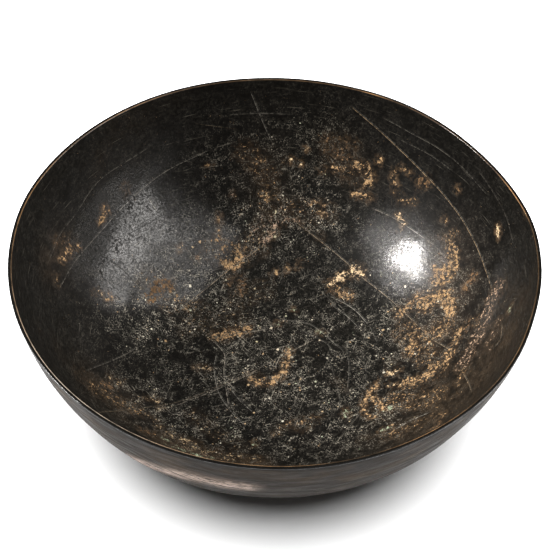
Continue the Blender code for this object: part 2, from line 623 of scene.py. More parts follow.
# Scratches on the inside: name, pixels along it, width, strength and how tan it is
SCRATCHES = (
    Scratch(
        "long arc, right wall",
        ((356, 111), (391, 142), (430, 180), (448, 200), (462, 219), (474, 241), (481, 258), (490, 286)),
        0.30 * MM,
        0.85,
        1.0,
    ),
    Scratch(
        "arc round the highlight",
        ((376, 210), (397, 220), (427, 240), (438, 249), (459, 275), (466, 284)),
        0.26 * MM,
        0.55,
        0.4,
    ),
    Scratch("crack in the highlight", ((401, 232), (416, 242), (435, 256)), 0.30 * MM, -0.8),
    Scratch(
        "straight line, middle to right",
        ((300, 225), (340, 257), (363, 278), (392, 301), (430, 337), (450, 350)),
        0.26 * MM,
        0.7,
        0.8,
    ),
    Scratch(
        "outer arc, left",
        ((62, 285), (75, 262), (100, 232), (130, 200), (165, 172), (205, 152)),
        0.26 * MM,
        0.5,
        0.2,
    ),
    Scratch(
        "inner arc, left", ((52, 255), (62, 232), (75, 215), (100, 180), (145, 150)), 0.26 * MM, 0.35, 0.2
    ),
    Scratch(
        "line from the left floor", ((185, 305), (207, 288), (230, 269), (260, 248)), 0.30 * MM, 0.75, 0.8
    ),
    Scratch("line down the back", ((252, 95), (262, 120), (270, 138)), 0.28 * MM, 0.45, 0.1),
    Scratch("floor line, right", ((334, 298), (346, 304), (357, 312), (365, 321)), 0.30 * MM, 0.7, 0.1),
    Scratch("second floor line, right", ((336, 308), (348, 317), (362, 331)), 0.28 * MM, 0.65, 0.1),
    Scratch("short floor line, right", ((371, 329), (376, 340)), 0.28 * MM, 0.5, 0.1),
    Scratch("scoured ring, upper left", ((229, 350), (247, 334), (267, 329)), 0.30 * MM, 0.6, 0.3),
    Scratch("scoured ring, top", ((284, 320), (300, 322), (315, 327), (341, 349)), 0.28 * MM, 0.5, 0.1),
    Scratch("scoured ring, inside top", ((303, 331), (326, 343), (331, 350)), 0.28 * MM, 0.5, 0.1),
    Scratch(
        "scoured ring, left",
        ((214, 342), (221, 349), (225, 357), (224, 374), (228, 402)),
        0.34 * MM,
        0.75,
        0.3,
    ),
    Scratch(
        "scoured ring, far left",
        ((216, 357), (214, 369), (218, 391), (228, 408), (242, 423)),
        0.30 * MM,
        0.65,
        0.1,
    ),
    Scratch("scoured ring, right", ((347, 352), (349, 369), (347, 390)), 0.28 * MM, 0.45, 0.1),
    Scratch("scoured ring, far right", ((362, 350), (366, 372), (362, 395)), 0.26 * MM, 0.35, 0.1),
    Scratch(
        "line across the ring",
        ((180, 404), (214, 391), (250, 374), (267, 364), (311, 341)),
        0.28 * MM,
        0.65,
        0.4,
    ),
    Scratch("mark in the ring", ((232, 391), (240, 401), (249, 409)), 0.34 * MM, 0.75, 0.1),
    Scratch(
        "long faint line, lower left",
        ((100, 412), (142, 408), (185, 400), (245, 375)),
        0.26 * MM,
        0.45,
        0.9,
    ),
    Scratch("faint line, left floor", ((88, 370), (120, 357), (142, 345)), 0.24 * MM, 0.4, 0.2),
    Scratch("front line", ((327, 456), (342, 436), (358, 416)), 0.26 * MM, 0.4, 0.3),
    Scratch("white line, lower right", ((400, 427), (411, 421), (425, 415)), 0.34 * MM, 0.85, 0.1),
    Scratch("thin line, right wall", ((502, 328), (501, 338), (498, 343)), 0.30 * MM, 0.7, 0.9),
    Scratch("thin line, lower right wall", ((465, 376), (469, 383), (472, 391)), 0.26 * MM, 0.6, 0.8),
    Scratch("nick, left sheen", ((151, 202), (155, 208)), 0.34 * MM, 0.7, 0.1),
    Scratch("crack in the left sheen", ((104, 257), (113, 262), (122, 269), (132, 279)), 0.40 * MM, -0.9),
    Scratch(
        "dark arc in the left sheen", ((131, 233), (151, 222), (166, 214), (193, 211)), 0.34 * MM, -0.7
    ),
    Scratch(
        "high arc, upper right",
        ((388, 121), (412, 134), (438, 148), (462, 166), (484, 190)),
        0.26 * MM,
        0.4,
        0.2,
    ),
    Scratch("second high arc, upper right", ((404, 142), (430, 155), (452, 170)), 0.24 * MM, 0.35, 0.2),
    Scratch("faint arc, far right", ((478, 168), (494, 192), (506, 216), (512, 240)), 0.26 * MM, 0.3, 0.2),
    Scratch("level line, back", ((236, 114), (262, 113), (288, 114)), 0.24 * MM, 0.35, 0.1),
    Scratch("level line, back left", ((200, 124), (215, 126), (231, 128)), 0.24 * MM, 0.35, 0.8),
    Scratch("faint line, lower middle", ((290, 372), (300, 385), (305, 400)), 0.24 * MM, 0.4, 0.1),
    Scratch("faint line, lower right floor", ((330, 360), (338, 390), (340, 402)), 0.22 * MM, 0.35, 0.1),
    Scratch("fan line, lower right floor", ((343, 428), (355, 415), (362, 398)), 0.22 * MM, 0.35, 0.2),
)

# Broad changes of the patina: name, pixels along it, reach and strength
BROWN_HAZES = (
    Haze("right front wall", ((500, 330), (480, 365), (450, 400), (420, 425)), 18.0 * MM, 0.6),
    Haze("right wall by the crust", ((450, 260), (455, 300), (440, 330)), 14.0 * MM, 0.5),
    Haze("lower left", ((95, 385), (120, 405)), 12.0 * MM, 0.3),
    Haze("front rim, left", ((160, 440), (210, 458), (260, 464)), 5.0 * MM, 0.7),
    Haze("left wall", ((50, 265), (60, 250)), 8.0 * MM, 0.4),
    Haze("upper right crust", ((335, 150), (362, 175)), 9.0 * MM, 0.2),
    Haze("back, under the rim", ((262, 165), (268, 195)), 9.0 * MM, 0.25),
)

MOTTLES = (
    Haze("left sheen", ((98, 264), (118, 232), (140, 208)), 17.0 * MM, 1.0),
    Haze("right part of the left sheen", ((160, 262), (190, 232)), 16.0 * MM, 0.6),
    Haze("round the highlight", ((395, 240), (412, 262)), 24.0 * MM, 0.45),
)

GRAIN_HAZES = (
    Haze("middle of the floor", ((281, 369),), 46.0 * MM, 0.9),
    Haze("left floor", ((150, 320), (200, 290)), 20.0 * MM, 0.95),
    Haze("front floor", ((150, 400), (200, 425), (300, 435), (380, 415)), 16.0 * MM, 0.75),
    Haze("left of the middle", ((225, 250), (260, 225), (310, 215)), 18.0 * MM, 0.75),
    Haze("back", ((230, 170), (270, 160), (320, 150)), 17.0 * MM, 0.28),
    Haze("right floor", ((380, 340), (430, 310)), 24.0 * MM, 0.7),
)

# Painted reflection: a pale band of streaks low on the outside, where it mirrors the lit floor
FLOOR_REFLECTION_BAND = Haze(
    "pale band low on the outside",
    (
        (40, 372),
        (60, 398),
        (78, 415),
        (106, 443),
        (134, 459),
        (162, 470),
        (190, 477),
        (215, 483),
        (245, 487),
    ),
    4.5 * MM,
    0.85,
)


class MarkPainter:
    """Finds what the photograph shows at each vertex of the bowl's inside and keeps it on the mesh.

    A mark's edge is kept as a distance and not as a colour, so that the material can draw it finer
    than the mesh.
    """

    STEP_PIXELS = 2.0
    LAYERS = 7
    LAYER_GAP = 9.0 * MM
    SURE_REACH = 2.4 * MM
    LAST_REACH = 3.6 * MM
    FAR = -4.0 * MM
    CONTRAST = 1.6

    # How deep in a mark, in millimetres, its crust starts and is full, and how deeper ones win
    CRUST_STARTS = -2.6
    CRUST_FULL = 1.1
    DEEPER_WINS = 0.01

    def __init__(
        self, camera: PhotoCamera, bowl: bpy.types.Object, places: np.ndarray, inside: np.ndarray
    ) -> None:
        """Gets ready to paint.

        Args:
            camera: the photograph's camera.
            bowl: the bowl's mesh object.
            places: all its vertices, before hammering.
            inside: True for each vertex of the inside.
        """
        self.camera = camera
        self.mesh = bowl.data
        self.places = places
        self.inside = np.flatnonzero(inside)
        self.spots = places[self.inside]
        self.tree = BVHTree.FromObject(bowl, bpy.context.evaluated_depsgraph_get())
        self.eye = camera.place()

    def on_bowl(self, pixel: Pixel) -> tuple[Vector, Vector] | None:
        """Returns the point of the bowl that a pixel of the photograph shows, and its normal."""
        spot, normal, _, _ = self.tree.ray_cast(self.eye, self.camera.ray(pixel))
        return None if spot is None else (spot, normal)

    def trace(self, path: tuple[Pixel, ...]) -> tuple[np.ndarray, np.ndarray]:
        """Follows a smooth line through pixels over the bowl.

        Args:
            path: the pixels that the line passes through.

        Returns:
            The points on the bowl, and the normals there.
        """
        pixels = smooth_line(path, self.STEP_PIXELS)
        found = [hit for hit in map(self.on_bowl, pixels) if hit is not None]
        return np.array([hit[0] for hit in found]), np.array([hit[1] for hit in found])

    def keep(self, name: str, values: np.ndarray) -> None:
        """Writes three numbers for each inside vertex to an attribute of the mesh, zero elsewhere.

        Args:
            name: the attribute's name.
            values: three numbers for each inside vertex.
        """
        full = np.zeros((len(self.places), 3), np.float32)
        full[self.inside] = values
        attribute = self.mesh.attributes.new(name, "FLOAT_VECTOR", "POINT")
        attribute.data.foreach_set("vector", full.ravel())

    def distance(self, points: np.ndarray, outside: bool = False) -> np.ndarray:
        """Returns the distance from the nearest of the points, for inside vertices or for all.

        Args:
            points: the points to measure from.
            outside: whether to measure all vertices.

        Returns:
            One distance for each vertex, in metres.
        """
        spots = self.places if outside else self.spots
        nearest = np.full(len(spots), np.inf)
        for point in points:
            np.minimum(nearest, ((spots - point) ** 2).sum(1), out=nearest)
        return np.sqrt(nearest)

    def paint_floor_reflection(self, haze: Haze) -> None:
        """Keeps how strong the painted reflection of the lit floor, low on the outside, is at each vertex.

        Args:
            haze: the band of painted reflection.
        """
        near = self.distance(self.trace(haze.path)[0], outside=True) / haze.reach
        keep_number(self.mesh, "floor_reflection", haze.strength * np.exp(-(near**2)))

    def paint_crust(self, crusts: dict[Tone, tuple[Crust, ...]]) -> None:
        """Keeps how deep each vertex lies in crust (mm), how much crust is there, and its tone.

        Args:
            crusts: the crust of the inside, with the painted reflection streaks among it, by its tone.
        """
        most = np.full(len(self.spots), -np.inf)
        depth = np.full(len(self.spots), self.FAR / MM)
        cover = np.zeros(len(self.spots))
        tone = np.full(len(self.spots), Tone.TAN.value)
        for kind, crust in ((kind, crust) for kind, group in crusts.items() for crust in group):
            points, _ = self.trace(crust.path)
            if len(crust.path) == 1:
                points = self.spots[[np.argmin(((self.spots - points[0]) ** 2).sum(1))]]
            own = (crust.width / 2.0 - self.distance(points)) / MM
            amount = crust.cover * smooth_step(self.CRUST_STARTS, self.CRUST_FULL, own)
            amount += self.DEEPER_WINS * own
            more = amount > most
            most[more] = amount[more]
            depth[more] = own[more]
            cover[more] = crust.cover
            tone[more] = kind.value
        self.keep("crust", np.stack([depth, cover, tone], 1))

    def paint_hazes(self) -> None:
        """Keeps the broad changes of the patina: brown, mottled and grainy."""
        columns = []
        for hazes in (BROWN_HAZES, MOTTLES, GRAIN_HAZES):
            total = np.zeros(len(self.spots))
            for haze in hazes:
                near = self.distance(self.trace(haze.path)[0]) / haze.reach
                total = np.maximum(total, haze.strength * np.exp(-(near**2)))
            columns.append(total)
        self.keep("haze", np.stack(columns, 1))

    def paint_scratches(self, scratches: tuple[Scratch, ...]) -> None:
        """Keeps the scratches in layers, so that those that cross lie in different ones.

        Args:
            scratches: all the scratches of the inside.
        """
        layers: list[list[tuple[Scratch, np.ndarray, np.ndarray]]] = [[] for _ in range(self.LAYERS)]
        for scratch in scratches:
            points, normals = self.trace(scratch.path)
            gaps = [min([apart(points, other) for _, other, _ in layer], default=1.0) for layer in layers]
            place = next((i for i, gap in enumerate(gaps) if gap > self.LAYER_GAP), int(np.argmax(gaps)))
            layers[place].append((scratch, points, normals))
        for number, layer in enumerate(layers):
            values = np.zeros((len(self.spots), 3))
            values[:, 0] = 1.0 / MM
            nearest = np.full(len(self.spots), np.inf)
            for scratch, points, normals in layer:
                side, gap, beyond = side_of_line(self.spots, points, normals)
                mine = gap < np.minimum(nearest, 2.0 * self.LAST_REACH)
                nearest[mine] = gap[mine]
                fade = 1.0 - smooth_step(self.SURE_REACH, self.LAST_REACH, gap)
                fade *= 1.0 - smooth_step(0.0, self.SURE_REACH, beyond)
                values[mine, 0] = side[mine] / (scratch.width / 2.0)
                weight = math.copysign(abs(scratch.strength) ** self.CONTRAST, scratch.strength)
                values[mine, 1] = (fade * weight)[mine]
                values[mine, 2] = scratch.tan
            self.keep(f"scratch_{number}", values)


def keep_number(mesh: bpy.types.Mesh, name: str, values: np.ndarray) -> None:
    """Writes one number for each vertex to an attribute of a mesh."""
    attribute = mesh.attributes.new(name, "FLOAT", "POINT")
    attribute.data.foreach_set("value", values.astype(np.float32))


def smooth_step(low: float, high: float, value: np.ndarray) -> np.ndarray:
    """Returns 0 below low, 1 above high and a smooth rise between."""
    share = np.clip((value - low) / (high - low), 0.0, 1.0)
    return share * share * (3.0 - 2.0 * share)


def smooth_line(path: tuple[Pixel, ...], step: float) -> list[Pixel]:
    """Runs a smooth line through pixels.

    Args:
        path: the pixels to pass through.
        step: the distance between the points returned, in pixels.

    Returns:
        Points along the line, its ends included.
    """
    if len(path) == 1:
        return [path[0]]
    knots = [Vector(pixel) for pixel in path]
    knots = [2.0 * knots[0] - knots[1]] + knots + [2.0 * knots[-1] - knots[-2]]
    line = []
    for before, start, end, after in zip(knots, knots[1:], knots[2:], knots[3:]):
        count = max(1, round((end - start).length / step))
        for number in range(count):
            share = number / count
            bend = 2.0 * before - 5.0 * start + 4.0 * end - after
            twist = 3.0 * start - before - 3.0 * end + after
            spot = start + 0.5 * share * ((end - before) + share * (bend + share * twist))
            line.append((spot.x, spot.y))
    line.append(path[-1])
    return line


def apart(first: np.ndarray, second: np.ndarray) -> float:
    """Returns the least distance between two lines of points."""
    return float(np.sqrt(((first[:, None] - second[None]) ** 2).sum(2)).min())


def side_of_line(
    spots: np.ndarray, points: np.ndarray, normals: np.ndarray
) -> tuple[np.ndarray, np.ndarray, np.ndarray]:
    """Measures how far spots lie from a line over the bowl, and on which side.

    Args:
        spots: the places to measure.
        points: the line.
        normals: the bowl's normal at each point of the line.

    Returns:
        The distance with a sign for the side, the plain distance, and how far beyond an end.
    """
    best = np.full(len(spots), np.inf)
    side = np.zeros(len(spots))
    beyond = np.zeros(len(spots))
    last = len(points) - 2
    for number in range(len(points) - 1):
        start = points[number]
        along = points[number + 1] - start
        length = np.linalg.norm(along)
        along /= length
        offset = spots - start
        run = offset @ along
        gap = np.linalg.norm(offset - np.clip(run, 0.0, length)[:, None] * along, axis=1)
        left = np.cross(normals[number], along)
        nearer = gap < best
        best[nearer] = gap[nearer]
        side[nearer] = (offset @ left)[nearer]
        past_start = -run if number == 0 else np.zeros(len(spots))
        past_end = run - length if number == last else np.zeros(len(spots))
        beyond[nearer] = np.maximum(np.maximum(past_start, past_end), 0.0)[nearer]
    return side, best, beyond


class NodeSketch:
    """Draws a node tree, one step for each call."""

    def __init__(self, tree: bpy.types.NodeTree) -> None:
        """Starts on an empty tree."""
        self.tree = tree
        self.tree.nodes.clear()

    def node(self, kind: str, **settings: object) -> bpy.types.Node:
        """Adds a node of a kind and sets its options.

        Args:
            kind: the node's type.
            settings: its options, by name.

        Returns:
            The node.
        """
        added = self.tree.nodes.new(kind)
        for name, value in settings.items():
            setattr(added, name, value)
        return added

    def put(self, socket: bpy.types.NodeSocket, value: object) -> None:
        """Links another node's output to a socket, or sets the socket to a plain value.

        Args:
            socket: the input to feed.
            value: an output socket, a number, a colour or a direction.
        """
        if isinstance(value, bpy.types.NodeSocket):
            self.tree.links.new(value, socket)
        elif socket.type == "RGBA" and len(value) == 3:
            socket.default_value = (*value, 1.0)
        else:
            socket.default_value = value

    def math(self, operation: str, *values: object, clamp: bool = False) -> bpy.types.NodeSocket:
        """Returns the result of a Math node.

        Args:
            operation: what it does.
            values: what it works on.
            clamp: whether the result stays between 0 and 1.

        Returns:
            The result's socket.
        """
        added = self.node("ShaderNodeMath", operation=operation, use_clamp=clamp)
        for socket, value in zip(added.inputs, values):
            self.put(socket, value)
        return added.outputs[0]

    def times(self, *values: object) -> bpy.types.NodeSocket:
        """Returns the product of two or more values.

        Args:
            values: sockets or numbers.

        Returns:
            The product's socket.
        """
        result = values[0]
        for value in values[1:]:
            result = self.math("MULTIPLY", result, value)
        return result

    def plus(self, *values: object) -> bpy.types.NodeSocket:
        """Returns the sum of two or more values.

        Args:
            values: sockets or numbers.

        Returns:
            The sum's socket.
        """
        result = values[0]
        for value in values[1:]:
            result = self.math("ADD", result, value)
        return result

    def rise(
        self, value: object, low: object, high: object, start: float = 0.0, end: float = 1.0
    ) -> bpy.types.NodeSocket:
        """Turns a value into a smooth rise.

        Args:
            value: what to read.
            low: where the rise starts.
            high: where it ends.
            start: the result below low.
            end: the result above high.

        Returns:
            The result's socket.
        """
        added = self.node("ShaderNodeMapRange", interpolation_type="SMOOTHSTEP")
        for socket, item in zip(added.inputs, (value, low, high, start, end)):
            self.put(socket, item)
        return added.outputs[0]

    def mix(self, factor: object, first: object, second: object) -> bpy.types.NodeSocket:
        """Mixes two colours.

        Args:
            factor: how much of the second.
            first: the colour below.
            second: the colour above.

        Returns:
            The mixed colour's socket.
        """
        added = self.node("ShaderNodeMix", data_type="RGBA", clamp_factor=True)
        self.put(added.inputs["Factor"], factor)
        colours = [socket for socket in added.inputs if socket.type == "RGBA"]
        for socket, colour in zip(colours, (first, second)):
            self.put(socket, colour)
        return next(socket for socket in added.outputs if socket.type == "RGBA")

    def noise(
        self, vector: object, size: float, detail: float = 2.0, rough: float = 0.5, distortion: float = 0.0
    ) -> bpy.types.NodeSocket:
        """Returns a noise from 0 to 1.

        Args:
            vector: where to read it.
            size: the size of its features, in the vector's unit.
            detail: how many finer layers it has.
            rough: how strong they are.
            distortion: how much it is stirred.

        Returns:
            The noise's socket.
        """
        added = self.node("ShaderNodeTexNoise")
        self.put(added.inputs["Vector"], vector)
        self.put(added.inputs["Scale"], 1.0 / size)
        self.put(added.inputs["Detail"], detail)
        self.put(added.inputs["Roughness"], rough)
        self.put(added.inputs["Distortion"], distortion)
        return added.outputs[0]

    def cells(self, vector: object, size: float) -> bpy.types.Node:
        """Returns a Voronoi node with cells of a size.

        Args:
            vector: where to read it.
            size: the cells' size, in the vector's unit.

        Returns:
            The node.
        """
        added = self.node("ShaderNodeTexVoronoi", feature="F1")
        self.put(added.inputs["Vector"], vector)
        self.put(added.inputs["Scale"], 1.0 / size)
        return added

    def parts(self, vector: object) -> tuple[bpy.types.NodeSocket, ...]:
        """Returns a vector's three numbers.

        Args:
            vector: the vector's socket.

        Returns:
            Three sockets.
        """
        added = self.node("ShaderNodeSeparateXYZ")
        self.put(added.inputs[0], vector)
        return tuple(added.outputs)

    def joined(self, *values: object) -> bpy.types.NodeSocket:
        """Returns a vector made of three numbers.

        Args:
            values: the three numbers.

        Returns:
            The vector's socket.
        """
        added = self.node("ShaderNodeCombineXYZ")
        for socket, value in zip(added.inputs, values):
            self.put(socket, value)
        return added.outputs[0]

    def ramp(self, factor: object, stops: tuple[tuple[float, Colour], ...]) -> bpy.types.NodeSocket:
        """Returns the colour at a place on a ramp.

        Args:
            factor: the place, from 0 to 1.
            stops: places and their colours, in order.

        Returns:
            The colour's socket.
        """
        added = self.node("ShaderNodeValToRGB")
        elements = added.color_ramp.elements
        for number, (place, colour) in enumerate(stops):
            stop = elements[number] if number < 2 else elements.new(place)
            stop.position = place
            stop.color = (*colour, 1.0)
        self.put(added.inputs[0], factor)
        return added.outputs[0]

    def kept(self, name: str) -> bpy.types.Node:
        """Returns the node that reads an attribute of the mesh."""
        return self.node("ShaderNodeAttribute", attribute_name=name)

    def place(self) -> bpy.types.NodeSocket:
        """Returns the Object coordinates, in metres."""
        return self.node("ShaderNodeTexCoord").outputs["Object"]


@dataclass(frozen=True)
class InsideFinish:
    """Colours and gloss of the inside: dark scoured patina, crust, specks, scratches, worn rim.

    Attributes:
        dark: the darkest patina.
        mid: the patina where it is scoured.
        dust: the finest pale grain.
        flecks: the brighter grain and the fine hairs.
        haze: the warm brown bloom.
        stain: the brown round the crust.
        crust_tones: the crust's colours, by tone.
        speck_tones: the scattered specks' colours.
        scratch_grey: a scratch in plain metal.
        scratch_tan: a scratch full of dirt.
        worn: bare bronze at the rim's inner corner, partly a painted highlight.
        worn_pale: the same where it is polished pale and its painted highlight is strongest.
        worn_metal: how metallic the worn rim is.
        roughness: roughness of the patina.
        specular: how strongly it mirrors.
        crust_roughness: roughness of the crust.
        gloss: how strong the polish over the patina is.
        gloss_roughness: roughness of that polish.
        gloss_ior: how strongly the polish bends light.
        relief: how strong the layers' relief is.
        gloss_relief: the same for the polish.
    """

    dark: Colour = (0.0030, 0.0028, 0.0024)
    mid: Colour = (0.0080, 0.0073, 0.0060)
    dust: Colour = (0.210, 0.190, 0.152)
    flecks: Colour = (0.290, 0.265, 0.215)
    haze: Colour = (0.030, 0.020, 0.012)
    stain: Colour = (0.075, 0.048, 0.027)
    crust_tones: tuple[tuple[float, Colour], ...] = (
        (Tone.BROWN.value, (0.170, 0.100, 0.050)),
        (Tone.TAN.value, (0.400, 0.255, 0.130)),
        (Tone.CREAM.value, (0.640, 0.470, 0.280)),
        # The pink tone is also that of the painted reflection streaks on the right wall
        (Tone.PINK_CRUST_AND_REFLECTION.value, (0.400, 0.280, 0.195)),
        (Tone.GREEN.value, (0.340, 0.390, 0.270)),
    )
    speck_tones: tuple[tuple[float, Colour], ...] = (
        (0.0, (0.150, 0.136, 0.110)),
        (0.35, (0.340, 0.310, 0.245)),
        (0.55, (0.760, 0.700, 0.560)),
        (0.70, (0.240, 0.150, 0.075)),
        (0.85, (0.560, 0.400, 0.230)),
        (1.0, (0.400, 0.450, 0.330)),
    )
    scratch_grey: Colour = (0.420, 0.400, 0.350)
    scratch_tan: Colour = (0.360, 0.240, 0.120)
    worn: Colour = (0.480, 0.270, 0.120)
    worn_pale: Colour = (0.800, 0.680, 0.540)
    worn_metal: float = 0.7
    roughness: float = 0.44
    specular: float = 0.08
    crust_roughness: float = 0.85
    gloss: float = 0.9
    gloss_roughness: float = 0.11
    gloss_ior: float = 1.62
    relief: float = 0.5
    gloss_relief: float = 0.75


@dataclass(frozen=True)
class OutsideFinish:
    """Colours and gloss of the outside: grey-brown, wiped and streaked round the bowl, with a painted
    reflection of the floor low at the front.

    Attributes:
        dark: the dark streaks and the band under the rim.
        grey: the plain grey-brown.
        gold: the golden-brown tint.
        pale: the pale, pinkish streaks, and the painted reflection of the floor.
        roughness: roughness of the surface.
        specular: how strongly it mirrors.
        relief: how strong the layers' relief is.
    """

    dark: Colour = (0.0045, 0.0038, 0.0030)
    grey: Colour = (0.0120, 0.0094, 0.0072)
    gold: Colour = (0.0250, 0.0165, 0.0090)
    pale: Colour = (0.310, 0.240, 0.200)
    roughness: float = 0.46
    specular: float = 0.025
    relief: float = 0.45


class LayeredSkin:
    """A surface built up in layers, each of which covers the one below and changes its relief."""

    def __init__(self, sketch: NodeSketch, colour: object) -> None:
        """Starts from a plain colour, flat and glossy."""
        self.sketch = sketch
        self.colour = colour
        self.height: object = 0.0
        self.dull: object = 0.0

    def lay(self, mask: object, colour: object, height: float = 0.0, dull: float = 0.0) -> None:
        """Adds a layer.

        Args:
            mask: where the layer is, from 0 to 1.
            colour: its colour.
            height: how far it stands up, or in, if negative.
            dull: how much of the polish it takes away.
        """
        self.colour = self.sketch.mix(mask, self.colour, colour)
        if height:
            self.height = self.sketch.plus(self.height, self.sketch.times(mask, height))
        if dull:
            self.dull = self.sketch.math("MAXIMUM", self.dull, self.sketch.times(mask, dull))

    def bump(self, strength: float, share: object = 1.0, extra: object = 0.0) -> bpy.types.NodeSocket:
        """Returns the normal that the layers' relief gives.

        Args:
            strength: how strong the relief is.
            share: a mask that weakens it.
            extra: relief on top of it.

        Returns:
            The normal's socket.
        """
        added = self.sketch.node("ShaderNodeBump")
        added.inputs["Strength"].default_value = strength
        added.inputs["Distance"].default_value = BUMP_DISTANCE
        relief = self.sketch.plus(self.sketch.times(self.height, share), extra)
        self.sketch.put(added.inputs["Height"], relief)
        return added.outputs[0]


class BronzePatina:
    """Makes the bowl's two materials."""

    # The fine hairs: their headings in degrees, how far they are drawn out, and their width
    HAIR_HEADINGS = (18.0, 74.0, 131.0)
    HAIR_STRETCH = (22.0, 1.0, 3.0)
    HAIR_SHIFT = 13.0 * MM
    HAIR_WIDTH = 0.42 * MM
    ROUND_HAIR_WIDTH = 0.34 * MM

    # How far, in half widths, the fainter scratch lies beside each scratch, and how strong it is
    BESIDE_SCRATCH = 3.4
    BESIDE_STRENGTH = 0.28

    # How far specks are stirred out of round, and the size of the stirring
    STIR = 0.9 * MM
    STIR_SIZE = 0.8 * MM

    # Where the dark band under the rim starts and is full, along the outside from the axis
    BAND_STARTS = 132.0 * MM
    BAND_FULL = 136.5 * MM

    # Each size of speck: cell size, share of cells, largest radius in cells, strength
    SPECKS = (
        (0.9 * MM, 0.48, 0.50, 0.9),
        (1.5 * MM, 0.56, 0.47, 0.99),
        (2.8 * MM, 0.54, 0.36, 1.0),
        (6.0 * MM, 0.35, 0.18, 1.0),
    )

    def __init__(self, inside: InsideFinish, outside: OutsideFinish) -> None:
        """Takes the finishes to make."""
        self.inside = inside
        self.outside = outside

    def shader(self, name: str) -> tuple[bpy.types.Material, NodeSketch, bpy.types.Node]:
        """Starts a material.

        Args:
            name: the material's name.

        Returns:
            The material, the sketch of its nodes, and its shader.
        """
        material = bpy.data.materials.new(name)
        material.use_nodes = True
        sketch = NodeSketch(material.node_tree)
        shader = sketch.node("ShaderNodeBsdfPrincipled")
        output = sketch.node("ShaderNodeOutputMaterial")
        sketch.put(output.inputs["Surface"], shader.outputs[0])
        return material, sketch, shader

    def round_coordinates(self, sketch: NodeSketch, around: float) -> bpy.types.NodeSocket:
        """Returns coordinates in which a noise is drawn out round the bowl.

        Args:
            sketch: the material's nodes.
            around: how far the direction round the bowl counts, in metres; less draws it out more.

        Returns:
            The coordinates, in metres.
        """
        x, y, _ = sketch.parts(sketch.place())
        unit = sketch.node("ShaderNodeVectorMath", operation="NORMALIZE")
        sketch.put(unit.inputs[0], sketch.joined(x, y, 0.0))
        cosine, sine, _ = sketch.parts(unit.outputs[0])
        along = sketch.kept("along").outputs["Fac"]
        return sketch.joined(sketch.times(cosine, around), sketch.times(sine, around), along)

    def hairs(self, sketch: NodeSketch, place: bpy.types.NodeSocket) -> bpy.types.NodeSocket:
        """Returns the mask of fine scouring hairs that run in a few directions over the floor.

        Args:
            sketch: the material's nodes.
            place: the Object coordinates.

        Returns:
            The mask's socket.
        """
        found: object = 0.0
        for number, heading in enumerate(self.HAIR_HEADINGS):
            turned = sketch.node("ShaderNodeMapping", vector_type="TEXTURE")
            sketch.put(turned.inputs["Vector"], place)
            turned.inputs["Rotation"].default_value = (0.0, 0.0, math.radians(heading))
            turned.inputs["Scale"].default_value = self.HAIR_STRETCH
            turned.inputs["Location"].default_value = (self.HAIR_SHIFT * number, 0.0, 0.0)
            drawn = sketch.noise(turned.outputs[0], self.HAIR_WIDTH, detail=1.0)
            found = sketch.math("MAXIMUM", found, sketch.rise(drawn, low=0.67, high=0.73))
        return found

    def specks(
        self, sketch: NodeSketch, place: bpy.types.NodeSocket, size: float, share: object, radius: float
    ) -> tuple[bpy.types.NodeSocket, bpy.types.NodeSocket]:
        """Scatters small specks.

        Args:
            sketch: the material's nodes.
            place: the coordinates to scatter them in.
            size: the cells' size, in metres; each holds at most one speck.
            share: the share of the cells that hold one.
            radius: the largest speck's radius, as a share of a cell.

        Returns:
            The specks' mask, and a number from 0 to 1 of each speck's own.
        """
        cells = sketch.cells(place, size)
        first, second, _ = sketch.parts(cells.outputs["Color"])
        there = sketch.rise(first, low=sketch.math("SUBTRACT", 1.0, share), high=1.15)
        reach = sketch.times(there, radius)
        mask = sketch.rise(
            cells.outputs["Distance"],
            low=sketch.times(reach, 0.5),
            high=sketch.plus(reach, 0.002),
            start=1.0,
            end=0.0,
        )
        return mask, second

    def scratches(
        self, sketch: NodeSketch, breakup: bpy.types.NodeSocket
    ) -> tuple[bpy.types.NodeSocket, bpy.types.NodeSocket, bpy.types.NodeSocket]:
        """Draws the scratches from the layers kept on the mesh, each with a fainter one beside it.

        Args:
            sketch: the material's nodes.
            breakup: a noise that breaks them up.

        Returns:
            How much of a light scratch is there, how tan it is, and how much of a dark crack.
        """
        light: object = 0.0
        crack: object = 0.0
        tan: object = 0.0
        for number in range(MarkPainter.LAYERS):
            side, strength, tone = sketch.parts(sketch.kept(f"scratch_{number}").outputs["Vector"])
            line = sketch.rise(sketch.math("ABSOLUTE", side), low=0.2, high=0.95, start=1.0, end=0.0)
            beside = sketch.math("ABSOLUTE", sketch.plus(side, -self.BESIDE_SCRATCH))
            faint = sketch.rise(beside, low=0.1, high=0.8, start=self.BESIDE_STRENGTH, end=0.0)
            drawn = sketch.times(sketch.math("MAXIMUM", line, faint), strength)
            light = sketch.math("MAXIMUM", light, drawn)
            crack = sketch.math("MAXIMUM", crack, sketch.times(drawn, -1.0))
            tan = sketch.math("MAXIMUM", tan, sketch.times(line, tone))
        return sketch.times(
            light, sketch.rise(breakup, low=0.36, high=0.60, start=0.12, end=1.1)
        ), tan, crack

    def inside_material(self) -> bpy.types.Material:
        """Makes the material of the inside and the rim.

        Returns:
            The material.
        """
        finish = self.inside
        material, sketch, shader = self.shader("bronze_inside")
        place = sketch.place()
        brown, mottle, grainy = sketch.parts(sketch.kept("haze").outputs["Vector"])
        cloud = sketch.noise(place, 13.0 * MM, detail=3.0, rough=0.6)
        patches = sketch.noise(place, 4.0 * MM, detail=3.0, rough=0.6)
        mid_grain = sketch.noise(place, 1.3 * MM, detail=2.0, rough=0.7)
        fine_grain = sketch.noise(place, 0.5 * MM, detail=1.0, rough=0.6)

